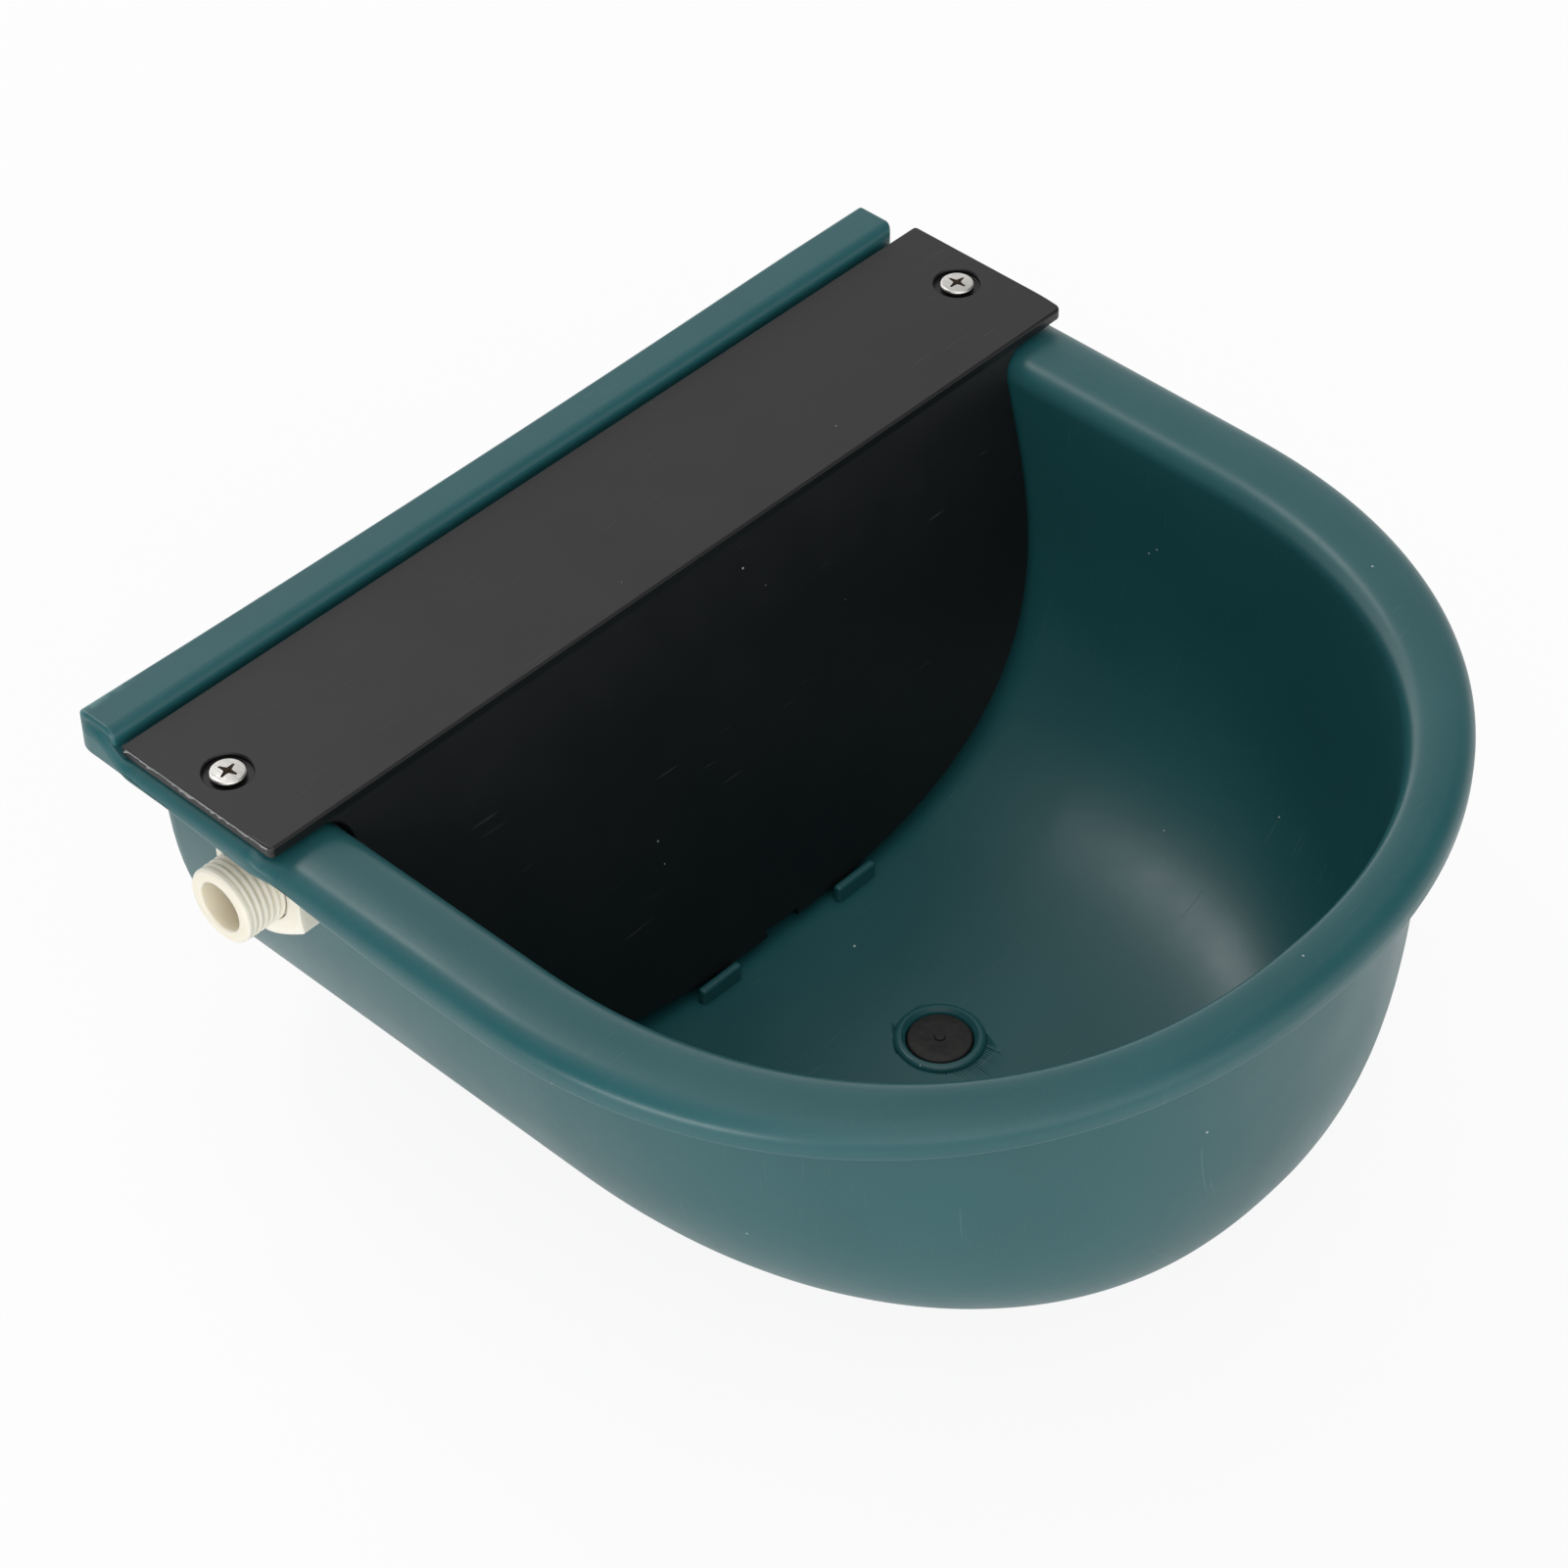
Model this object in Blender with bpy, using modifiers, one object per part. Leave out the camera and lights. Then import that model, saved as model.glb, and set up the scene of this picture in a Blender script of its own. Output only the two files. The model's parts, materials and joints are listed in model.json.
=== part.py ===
"""Wall-hung drinking bowl for livestock: a deep plastic bowl, a float valve hidden behind a dark baffle,
and a rubber drain plug. The frame: the wall is the plane Y = 0 and the bowl stands out towards -Y.
Z = 0 is the line of the two wall screw holes and X = 0 is the middle of the bowl."""

import math

import bmesh
import bpy
from mathutils import Matrix, Vector

MM = 0.001
FIT_GAP = 0.3 * MM
PAST = 5.0 * MM  # how far a short cutter runs past the face it opens
HOLE_LONG = 30.0 * MM  # how far a cutter for a through hole runs to each side

# Levels, all measured down from the top of the rim
RIM_Z = 45.0 * MM
INSIDE_DEPTH = 108.0 * MM
WALL = 4.0 * MM
FLOOR = 4.5 * MM
FRONT_WALL = 5.2 * MM

# Plan of the bowl: straight sides run forward, then a half ellipse closes the front
INSIDE_HALF = 119.5 * MM
INSIDE_REACH = 123.3 * MM
SIDE_BEYOND_COVER = 66.2 * MM
SIDE_POWER = 3.35
FRONT_POWER = 7.2
BODY_ROUND = 2.2
RIM_ROUND = 2.0
ARC_STEPS = 32
DEPTH_STEPS = 12
BACK_CORNER = 5.0 * MM

# Rolled rim, as wide as this from the inside wall to its outer edge
RIM_WIDE = 21.9 * MM
RIM_WIDE_FRONT = 17.5 * MM
RIM_LIP = 9.5 * MM
RIM_THICK = 3.4 * MM
LIP_THICK = 2.8 * MM
RIM_OUTER_R = 6.0 * MM
RIM_INNER_R = 7.0 * MM
FRONT_FLARE = 2.5 * MM
ROUND_STEPS = 5
LATHE_STEPS = 28

# Strip along the wall, cover behind it, and the mounting flange that both lie on
STRIP_DEEP = 12.8 * MM
STRIP_UP = 8.0 * MM
STRIP_WALL = 3.5 * MM
STRIP_IN_LEFT = 0.4 * MM
STRIP_IN_RIGHT = 1.1 * MM
COVER_GAP = 2.4 * MM
COVER_DEEP = 53.1 * MM
COVER_PAST_RIM = 1.1 * MM
COVER_THICK = 3.0 * MM
FOLD_R = 2.2 * MM
FLANGE_PAST_COVER = 2.3 * MM
FLANGE_SHORT_RIGHT = 3.4 * MM
FLANGE_CLEAR = 0.8 * MM
FLANGE_SKIRT = 5.5 * MM
FLANGE_CORNER = 4.0 * MM
FLANGE_OVERLAP = 6.0 * MM
LEDGE_UP = 1.8 * MM
LEDGE_UNDER_COVER = 5.8 * MM
LEDGE_PAST_RIM = 1.0 * MM

# Wall screw holes
WALL_HOLE_X = 75.0 * MM
WALL_HOLE_R = 4.0 * MM
WALL_PAD_WIDE = 5.0 * MM
WALL_PAD = 2.0 * MM

# Baffle
BAFFLE_SLOPE = math.radians(16.0)
BAFFLE_THICK = 3.0 * MM
BAFFLE_ABOVE_FLOOR = 3.1 * MM
BAFFLE_GAP = 1.0 * MM
BAFFLE_WING_IN = 4.6 * MM
BAFFLE_SIDE_POWER = 2.5
BAFFLE_DEPTH_POWER = 3.4
NOTCH_WIDE = 12.0 * MM
NOTCH_HIGH = 2.5 * MM
GUSSET_IN = 19.5 * MM
GUSSET = 11.0 * MM
GUSSET_DROP = 15.4 * MM

# Cover screws
SCREW_FROM_END = 11.3 * MM
SCREW_FROM_BACK = 25.3 * MM
SCREW_R = 2.0 * MM
SCREW_HEAD_R = 4.25 * MM
SCREW_HEAD = 2.2 * MM
SCREW_SLOT = 0.9 * MM
SCREW_SLOT_DEEP = 1.4 * MM
SCREW_POINT = 2.0 * MM
SCREW_CLEAR = 1.0 * MM
RECESS_AROUND = 2.25 * MM
SCREW_RECESS = 1.5 * MM
BOSS_WALL = 2.5 * MM
BOSS_DEEP = 7.6 * MM
BOSS_WEB = 2.4 * MM
BOSS_WEB_SHORT = 1.0 * MM

# Tabs that hold the foot of the baffle, and the drain
TAB_X = 26.0 * MM
TAB_LONG = 13.0 * MM
TAB_THICK = 2.5 * MM
TAB_HIGH = 4.7 * MM
TAB_ROUND = 0.8 * MM
DRAIN_BEYOND_SIDE = 19.4 * MM
DRAIN_R = 8.9 * MM
DRAIN_RING_WIDE = 3.1 * MM
DRAIN_RING = 1.5 * MM
PLUG_BELOW_RING = 0.6 * MM
PLUG_NUB = 0.5 * MM
PLUG_NUB_R = 1.4 * MM
PLUG_EDGE = 0.8 * MM
PLUG_HEAD_WIDE = 3.6 * MM
PLUG_HEAD = 3.0 * MM
PLUG_ROUND = 1.0 * MM
PLUG_KNOB_R = 5.0 * MM
PLUG_KNOB = 8.0 * MM

# Inlet: a half-inch pipe thread through the left side wall, between two pads
INLET_Y = -50.2 * MM
INLET_DEPTH = 23.4 * MM
INLET_LONG = 21.6 * MM
INLET_CHAMFER = 1.0 * MM
THREAD_R = 10.48 * MM
INLET_WALL = 3.08 * MM
PAD_PROUD = 0.9 * MM
PAD_PROUD_IN = 1.3 * MM
PAD_AROUND = 1.8 * MM
WASHER_WIDE = 3.52 * MM
WASHER = 1.8 * MM
COLLAR_WIDE = 6.02 * MM
NUT_FLATS = 30.0 * MM
NUT_HIGH = 7.0 * MM
BODY_FLANGE = 3.4 * MM
BARREL_LONG = 32.2 * MM
BARREL_WALL = 3.2 * MM
STRAINER_LONG = 7.0 * MM
STRAINER_SKIN = 1.2 * MM
STRAINER_HOLE_R = 1.1 * MM
STRAINER_HOLE_OUT = 3.7 * MM
STRAINER_HOLES = 6

# Valve seat, plunger and hinge
SEAT_IN = 10.2 * MM
WEB = 4.0 * MM
SEAT_R = 4.0 * MM
SEAT_FLANGE_WIDE = 2.6 * MM
SEAT_FLANGE = 1.7 * MM
SEAT_TAPER = 1.5 * MM
SEAT_LIP = 0.9 * MM
ORIFICE_R = 1.6 * MM
SEAT_PROUD = 0.4 * MM
WINDOW_HALF = 3.0 * MM
WINDOW_IN = 1.0 * MM
WINDOW_LONG = 7.0 * MM
PLUNGER_BORE_R = 6.3 * MM
PLUNGER_NOSE = 1.5 * MM
PLUNGER_GROOVE = 2.4 * MM
PLUNGER_GROOVE_DEEP = 0.8 * MM
SEAL_IN = 1.7 * MM
SEAL_THICK = 1.7 * MM
SEAL_PROUD = 0.6 * MM
PIN_OUT = 6.0 * MM
PIN_DROP = 8.6 * MM
PIN_R = 1.5 * MM
PIN_HEAD = 1.2 * MM
PIN_TAIL = 2.0 * MM
CLIP_THICK = 1.0 * MM
EAR_GAP = 6.4 * MM
EAR_THICK = 3.0 * MM
EAR_WALL = 3.5 * MM
STOP_FRONT = 10.0 * MM
STOP_LONG = 4.0 * MM
STOP_HIGH = 3.6 * MM

# Lever, rod and float, drawn level and then hung by REST_TILT
FLOAT_SWING = math.radians(20.0)
FLOAT_ABOVE_FLOOR = 9.7 * MM
FLOAT_FROM_SIDE = 46.5 * MM
HUB_WALL = 1.9 * MM
PAD_TIP_R = 3.0 * MM
PAD_TIP_LEAN = 1.5 * MM
NECK = 3.6 * MM
NECK_IN = 0.3 * MM
ARM_IN = 0.5 * MM
ARM_HALF = 3.6 * MM
ARM_IN_SOCKET = 2.0 * MM
SOCKET_START = 13.0 * MM
SOCKET_LONG = 21.0 * MM
SOCKET_WALL = 2.5 * MM
SOCKET_ROUND = 1.5 * MM
ROD_R = 2.5 * MM
ROD_IN_SOCKET = 17.0 * MM
ROD_PAST_NUT = 2.5 * MM
ROD_CHAMFER = 0.5 * MM
FLOAT_FROM_SOCKET = 24.0 * MM
FLOAT_WIDE = 34.0 * MM
FLOAT_HIGH = 38.0 * MM
FLOAT_WALL = 2.2 * MM
FLOAT_ROUND = 8.0 * MM
ROD_NUT_WIDE = 2.0 * MM
ROD_NUT = 4.5 * MM
CLAMP_FROM_END = 9.0 * MM
CLAMP_R = 1.6 * MM
CLAMP_HEAD_R = 5.0 * MM
CLAMP_HEAD = 5.0 * MM
CLAMP_STAND_OFF = 1.0 * MM
CLAMP_EDGE = 0.8 * MM

# Worked out from the sizes above, from the middle of the bowl outwards
OUTSIDE_HALF = INSIDE_HALF + WALL
OUTSIDE_REACH = INSIDE_REACH + FRONT_WALL
OUTSIDE_DEPTH = INSIDE_DEPTH + FLOOR
RIM_HALF = INSIDE_HALF + RIM_WIDE
RIM_REACH = INSIDE_REACH + RIM_WIDE_FRONT
COVER_HALF = RIM_HALF + COVER_PAST_RIM
FLANGE_LEFT = -COVER_HALF - FLANGE_PAST_COVER
FLANGE_RIGHT = RIM_HALF - FLANGE_SHORT_RIGHT
STRIP_LEFT = FLANGE_LEFT + STRIP_IN_LEFT
STRIP_RIGHT = FLANGE_RIGHT - STRIP_IN_RIGHT
SCREW_X = COVER_HALF - SCREW_FROM_END
GUSSET_X = INSIDE_HALF - GUSSET_IN

# From the wall forwards
COVER_BACK = STRIP_DEEP + COVER_GAP
COVER_FRONT = COVER_BACK + COVER_DEEP
SCREW_Y = -COVER_BACK - SCREW_FROM_BACK
LEDGE_DEEP = COVER_BACK + LEDGE_UNDER_COVER
FLANGE_FRONT = COVER_FRONT - BAFFLE_THICK - FLANGE_CLEAR
RIM_BACK = FLANGE_FRONT - FLANGE_OVERLAP
ARC_Y = -COVER_FRONT - SIDE_BEYOND_COVER
DRAIN_Y = ARC_Y - DRAIN_BEYOND_SIDE

# Heights, and what the heights set
COVER_UNDER = LEDGE_UP + FIT_GAP
COVER_TOP = COVER_UNDER + COVER_THICK
BAFFLE_DEPTH = INSIDE_DEPTH - BAFFLE_ABOVE_FLOOR
BAFFLE_FOOT_Y = -COVER_FRONT - (BAFFLE_DEPTH + LEDGE_UP) * math.tan(BAFFLE_SLOPE)
INLET_Z = RIM_Z - INLET_DEPTH
PIN_Z = INLET_Z - PIN_DROP

# Along the inlet, from the open end inwards
PAD_OUT = -OUTSIDE_HALF - PAD_PROUD
PAD_IN = -INSIDE_HALF + PAD_PROUD_IN
INLET_END = PAD_OUT - INLET_LONG
BARREL_END = PAD_IN + BARREL_LONG
WEB_OUT = PAD_IN + SEAT_IN
WEB_IN = WEB_OUT + WEB
PIN_X = BARREL_END + PIN_OUT

# Radii that grow with what they hold
INLET_BORE_R = THREAD_R - INLET_WALL
WASHER_R = THREAD_R + WASHER_WIDE
COLLAR_R = THREAD_R + COLLAR_WIDE
PAD_R = WASHER_R + PAD_AROUND
BARREL_R = PLUNGER_BORE_R + BARREL_WALL
SEAL_R = PLUNGER_BORE_R - SEAL_IN
SEAT_FLANGE_R = SEAT_R + SEAT_FLANGE_WIDE
BOSS_R = SCREW_R + BOSS_WALL
SCREW_RECESS_R = SCREW_HEAD_R + RECESS_AROUND
WALL_PAD_R = WALL_HOLE_R + WALL_PAD_WIDE
DRAIN_RING_R = DRAIN_R + DRAIN_RING_WIDE
PLUG_HEAD_R = DRAIN_R + PLUG_HEAD_WIDE
EAR_R = PIN_R + EAR_WALL
HUB_R = PIN_R + HUB_WALL
SOCKET_HALF = ROD_R + SOCKET_WALL
ROD_NUT_FLATS = 2 * (ROD_R + ROD_NUT_WIDE)

# Along the rod, from the hinge outwards, and how far the float hangs when the bowl is empty
LEVER_THICK = EAR_GAP - 2 * FIT_GAP
SOCKET_END = SOCKET_START + SOCKET_LONG
ROD_START = SOCKET_END - ROD_IN_SOCKET
CLAMP_X = SOCKET_END - CLAMP_FROM_END
FLOAT_START = SOCKET_END + FLOAT_FROM_SOCKET
FLOAT_END = INSIDE_HALF - FLOAT_FROM_SIDE - PIN_X
FLOAT_DROP = INSIDE_DEPTH - (RIM_Z - PIN_Z) - FLOAT_HIGH / 2 - FLOAT_ABOVE_FLOOR
REST_TILT = math.asin(FLOAT_DROP / FLOAT_END)
PLUNGER_TRAVEL = PIN_DROP * math.sin(FLOAT_SWING) + PAD_TIP_LEAN * (1 - math.cos(FLOAT_SWING))


def level(depth):
    """Height of a level given as a depth below the rim top; what stands above the rim is negative."""
    return RIM_Z - depth


def share(depth, full, power):
    """How much of its full width a rounded section still has at this depth."""
    return max(0.0, 1 - (depth / full) ** power) ** (1 / power)


def collection(name):
    made = bpy.data.collections.new(name)
    bpy.context.scene.collection.children.link(made)
    return made


def clear_scene():
    for old in list(bpy.data.objects):
        bpy.data.objects.remove(old, do_unlink=True)


clear_scene()
PARTS = collection("drinking_bowl")
CUTTERS = collection("cutters")


def material(name, colour, roughness, metallic=0.0):
    made = bpy.data.materials.new(name)
    made.use_nodes = True
    shader = made.node_tree.nodes["Principled BSDF"]
    shader.inputs["Base Color"].default_value = (*colour, 1)
    shader.inputs["Roughness"].default_value = roughness
    shader.inputs["Metallic"].default_value = metallic
    made.diffuse_color = (*colour, 1)
    return made


def add(name, mesh, home):
    made = bpy.data.objects.new(name, mesh)
    home.objects.link(made)
    if home is CUTTERS:
        made.hide_render = True
        made.display_type = "WIRE"
    return made


def from_bmesh(name, bm, home):
    bmesh.ops.recalc_face_normals(bm, faces=bm.faces)
    mesh = bpy.data.meshes.new(name)
    bm.to_mesh(mesh)
    bm.free()
    return add(name, mesh, home)


def box(name, x, y, z, home=CUTTERS, bevel=0.0, segments=3, picked=None):
    """A box between the two values of each pair. Only the edges that picked accepts are rounded."""
    bm = bmesh.new()
    bmesh.ops.create_cube(bm, size=1)
    for vert in bm.verts:
        vert.co = Vector(
            [pair[0] + (side + 0.5) * (pair[1] - pair[0]) for pair, side in zip((x, y, z), vert.co)]
        )
    if bevel:
        edges = [e for e in bm.edges if picked is None or picked(*(v.co for v in e.verts))]
        bmesh.ops.bevel(bm, geom=edges, offset=bevel, segments=segments, profile=0.5, affect="EDGES")
    return from_bmesh(name, bm, home)


def prism(name, outline, thick, home=CUTTERS):
    """A flat outline in X and Z, given thickness along Y about Y = 0."""
    bm = bmesh.new()
    front = [bm.verts.new((x, -thick / 2, z)) for x, z in outline]
    face = bm.faces.new(front)
    grown = bmesh.ops.extrude_face_region(bm, geom=[face])
    moved = [item for item in grown["geom"] if isinstance(item, bmesh.types.BMVert)]
    bmesh.ops.translate(bm, vec=(0, thick, 0), verts=moved)
    return from_bmesh(name, bm, home)


def lathe(name, profile, home=CUTTERS, steps=LATHE_STEPS):
    """Turns a profile of radius and height, which runs down its outer side from top to bottom."""
    mesh = bpy.data.meshes.new(name)
    points = [(radius, 0, height) for radius, height in profile]
    closed = profile[0][0] > 0 or profile[-1][0] > 0
    edges = [(i, i + 1) for i in range(len(points) - 1)]
    if closed:
        edges.append((len(points) - 1, 0))
    mesh.from_pydata(points, edges, [])
    made = add(name, mesh, home)
    screw = made.modifiers.new("Turn", "SCREW")
    screw.axis = "Z"
    screw.angle = 2 * math.pi
    screw.steps = steps
    screw.render_steps = steps
    screw.use_merge_vertices = True
    screw.merge_threshold = 0.00001
    return made


def rod(name, radius, low, high, home=CUTTERS, steps=LATHE_STEPS):
    return lathe(name, [(0, high), (radius, high), (radius, low), (0, low)], home, steps)


def place(made, at, along="Z"):
    """Moves a turned shape and points its own Z along X or Y."""
    turns = {"Z": (0, 0, 0), "X": (0, math.pi / 2, 0), "Y": (-math.pi / 2, 0, 0)}
    made.location = at
    made.rotation_euler = turns[along]
    return made


def boolean(target, other, operation="DIFFERENCE"):
    step = target.modifiers.new(operation.title(), "BOOLEAN")
    step.operation = operation
    step.solver = "EXACT"
    step.use_hole_tolerant = True
    step.object = other
    return target


def cut(target, *others):
    for other in others:
        boolean(target, other)
    return target


def join(target, *others):
    for other in others:
        boolean(target, other, "UNION")
    return target


def in_one_step(target, others, operation="DIFFERENCE"):
    """One Boolean with a whole collection, which keeps a mesh with many holes closed."""
    group = bpy.data.collections.new(f"{target.name}_{operation.lower()}_{len(target.modifiers)}")
    CUTTERS.children.link(group)
    for other in others:
        CUTTERS.objects.unlink(other)
        group.objects.link(other)
    step = target.modifiers.new(operation.title(), "BOOLEAN")
    step.operation = operation
    step.solver = "EXACT"
    step.use_hole_tolerant = True
    step.operand_type = "COLLECTION"
    step.collection = group
    return target


def finish(made, look, parent=None, angle=35):
    made.data.materials.clear()
    made.data.materials.append(look)
    made.data.shade_smooth()
    made.data.set_sharp_from_angle(angle=math.radians(angle))
    if parent:
        made.parent = parent
    return made


def plan(half, reach, height, back, roundness, corner=0.0):
    """One level of the bowl seen from above: back corner, straight side, rounded front, and back again."""
    right = []
    for i in range(ROUND_STEPS + 1 if corner else 1):
        turn = math.pi / 2 * i / ROUND_STEPS
        right.append((half - corner + corner * math.sin(turn), back - corner + corner * math.cos(turn)))
    front = []
    for i in range(ARC_STEPS + 1):
        turn = math.pi * i / ARC_STEPS
        across = math.copysign(abs(math.cos(turn)) ** (2 / roundness), math.cos(turn))
        front.append((half * across, ARC_Y - reach * math.sin(turn) ** (2 / roundness)))
    left = [(-x, y) for x, y in reversed(right)]
    return [(x, y, height) for x, y in right + front + left]


def loft(name, rings, home=CUTTERS):
    """A solid through levels of unlike plan, top one first."""
    bm = bmesh.new()
    rows = [[bm.verts.new(point) for point in ring] for ring in rings]
    bm.faces.new(rows[0])
    bm.faces.new(rows[-1])
    for upper, lower in zip(rows, rows[1:]):
        for i in range(len(upper)):
            j = (i + 1) % len(upper)
            bm.faces.new((upper[i], upper[j], lower[j], lower[i]))
    return from_bmesh(name, bm, home)


def section_depths(full):
    """Depths that crowd together where the section turns into the floor."""
    turns = [math.radians(86) * i / DEPTH_STEPS for i in range(1, DEPTH_STEPS + 1)]
    return [full * math.sin(turn) ** (2 / SIDE_POWER) for turn in turns]


def outside_rings():
    depths = [RIM_THICK / 2] + section_depths(OUTSIDE_DEPTH) + [OUTSIDE_DEPTH * 0.9996]
    rings = []
    for depth in depths:
        half = OUTSIDE_HALF * share(depth, OUTSIDE_DEPTH, SIDE_POWER)
        reach = OUTSIDE_REACH * share(depth, OUTSIDE_DEPTH, FRONT_POWER)
        rings.append(plan(half, reach, level(depth), 0, BODY_ROUND, BACK_CORNER))
    return rings


def inside_rings():
    """The hollow, with the top of the wall rounded over into the rim."""
    turns = [math.pi / 2 * i / ROUND_STEPS for i in range(ROUND_STEPS + 1)]
    round_depths = [RIM_INNER_R * (1 - math.cos(turn)) for turn in turns]
    deep = [d for d in section_depths(INSIDE_DEPTH) if d > RIM_INNER_R * 1.2]
    rings = []
    for depth in [-LEDGE_UP - PAST] + round_depths + deep + [INSIDE_DEPTH * 0.9996]:
        into = max(0.0, 1 - max(depth, 0) / RIM_INNER_R)
        flare = 1 - math.sqrt(1 - into**2)
        under = max(depth, 0)
        half = INSIDE_HALF * share(under, INSIDE_DEPTH, SIDE_POWER) + RIM_INNER_R * flare
        reach = INSIDE_REACH * share(under, INSIDE_DEPTH, FRONT_POWER) + FRONT_FLARE * flare
        rings.append(plan(half, reach, level(depth), -WALL, BODY_ROUND, WALL / 2))
    return rings


def rim_rings():
    rings = []
    for i in range(ROUND_STEPS + 1):
        turn = math.pi / 2 * i / ROUND_STEPS
        inset = RIM_OUTER_R * (1 - math.sin(turn))
        drop = RIM_OUTER_R * (1 - math.cos(turn))
        rings.append(plan(RIM_HALF - inset, RIM_REACH - inset, level(drop), -RIM_BACK, RIM_ROUND))
    rings.append(plan(RIM_HALF, RIM_REACH, level(RIM_LIP), -RIM_BACK, RIM_ROUND))
    return rings


def rim_hollow_rings():
    """The space under the rim, open at the back, where the flange takes over."""
    half, reach = RIM_HALF - LIP_THICK, RIM_REACH - LIP_THICK
    rings = []
    for i in range(ROUND_STEPS + 1):
        turn = math.pi / 2 * i / ROUND_STEPS
        inset = (RIM_OUTER_R - RIM_THICK) * (1 - math.sin(turn))
        drop = RIM_THICK + (RIM_OUTER_R - RIM_THICK) * (1 - math.cos(turn))
        rings.append(plan(half - inset, reach - inset, level(drop), 0, RIM_ROUND))
    rings.append(plan(half, reach, level(RIM_LIP + PAST), 0, RIM_ROUND))
    return rings


def along_x(a, b):
    return abs(a.x - b.x) > FIT_GAP


def upright(a, b):
    return abs(a.z - b.z) > FIT_GAP


# Looks
TEAL = material("bowl_plastic", (0.020, 0.105, 0.108), 0.42)
DARK = material("cover_plastic", (0.018, 0.019, 0.020), 0.45)
CREAM = material("valve_plastic", (0.82, 0.79, 0.70), 0.40)
NICKEL = material("screw_nickel", (0.72, 0.70, 0.66), 0.28, 1.0)
BLACK = material("black_rubber", (0.016, 0.016, 0.017), 0.75)
STEEL = material("stainless_steel", (0.62, 0.62, 0.60), 0.30, 1.0)
FOAM = material("float_plastic", (0.030, 0.032, 0.034), 0.50)
MESH = material("strainer_plastic", (0.70, 0.71, 0.70), 0.50)

# The bowl: rim and flange first, hollowed from below, then the body, the hollow and the fittings
bowl = cut(loft("bowl", rim_rings(), PARTS), loft("rim_hollow", rim_hollow_rings()))
flange = box(
    "flange_block",
    (FLANGE_LEFT, FLANGE_RIGHT),
    (-FLANGE_FRONT, 0),
    (level(FLANGE_SKIRT), level(-LEDGE_UP)),
    bevel=FLANGE_CORNER,
    picked=upright,
)
flange_hollow = box(
    "flange_hollow",
    (FLANGE_LEFT + LIP_THICK, FLANGE_RIGHT - LIP_THICK),
    (-FLANGE_FRONT - PAST, -WALL),
    (level(FLANGE_SKIRT + PAST), level(-LEDGE_UP + RIM_THICK)),
)
join(bowl, cut(flange, flange_hollow), loft("body_outside", outside_rings()))
bosses = []
for side in (-1, 1):
    boss = rod(f"boss_{side}", BOSS_R, level(BOSS_DEEP), level(0))
    reach_in = sorted((side * (OUTSIDE_HALF - WALL / 2), side * SCREW_X))
    web = box(
        f"boss_web_{side}",
        reach_in,
        (SCREW_Y - BOSS_WEB / 2, SCREW_Y + BOSS_WEB / 2),
        (level(BOSS_DEEP - BOSS_WEB_SHORT), level(0)),
    )
    bosses += [place(boss, (side * SCREW_X, SCREW_Y, 0)), web]
in_one_step(bowl, bosses, "UNION")
cut(bowl, loft("hollow", inside_rings()))

strip = box(
    "back_strip",
    (STRIP_LEFT, STRIP_RIGHT),
    (-STRIP_DEEP, 0),
    (level(RIM_THICK), level(-STRIP_UP)),
    bevel=STRIP_WALL,
    segments=4,
    picked=lambda a, b: (along_x(a, b) and a.y < -FIT_GAP and a.z > level(0))
    or (upright(a, b) and a.y > -FIT_GAP),
)
strip_hollow = box(
    "strip_hollow",
    (-INSIDE_HALF, INSIDE_HALF),
    (-STRIP_DEEP + STRIP_WALL, -WALL),
    (level(RIM_THICK + PAST), level(-STRIP_UP + STRIP_WALL)),
)
ledge_half = INSIDE_HALF + RIM_INNER_R + LEDGE_PAST_RIM
back_ledge = box(
    "back_ledge",
    (-ledge_half, ledge_half),
    (-LEDGE_DEEP, -STRIP_DEEP + STRIP_WALL / 2),
    (level(RIM_THICK - LEDGE_UP), level(-LEDGE_UP)),
)
fittings = [cut(strip, strip_hollow), back_ledge]

inlet_pad = place(rod("inlet_pad", PAD_R, 0, PAD_IN - PAD_OUT), (PAD_OUT, INLET_Y, INLET_Z), "X")
half_floor = level(INSIDE_DEPTH + FLOOR / 2)
drain_ring = rod("drain_ring", DRAIN_RING_R, half_floor, level(INSIDE_DEPTH - DRAIN_RING))
fittings += [inlet_pad, place(drain_ring, (0, DRAIN_Y, 0))]
for side in (-1, 1):
    wall_pad = rod(f"wall_pad_{side}", WALL_PAD_R, -WALL - WALL_PAD, -WALL / 2)
    fittings.append(place(wall_pad, (side * WALL_HOLE_X, 0, 0), "Y"))

for side in (-1, 1):
    middle = side * TAB_X
    tab = box(
        f"baffle_tab_{side}",
        (middle - TAB_LONG / 2, middle + TAB_LONG / 2),
        (BAFFLE_FOOT_Y - FIT_GAP - TAB_THICK, BAFFLE_FOOT_Y - FIT_GAP),
        (half_floor, level(INSIDE_DEPTH - TAB_HIGH)),
        bevel=TAB_ROUND,
        segments=2,
    )
    fittings.append(tab)
in_one_step(bowl, fittings, "UNION")

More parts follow.
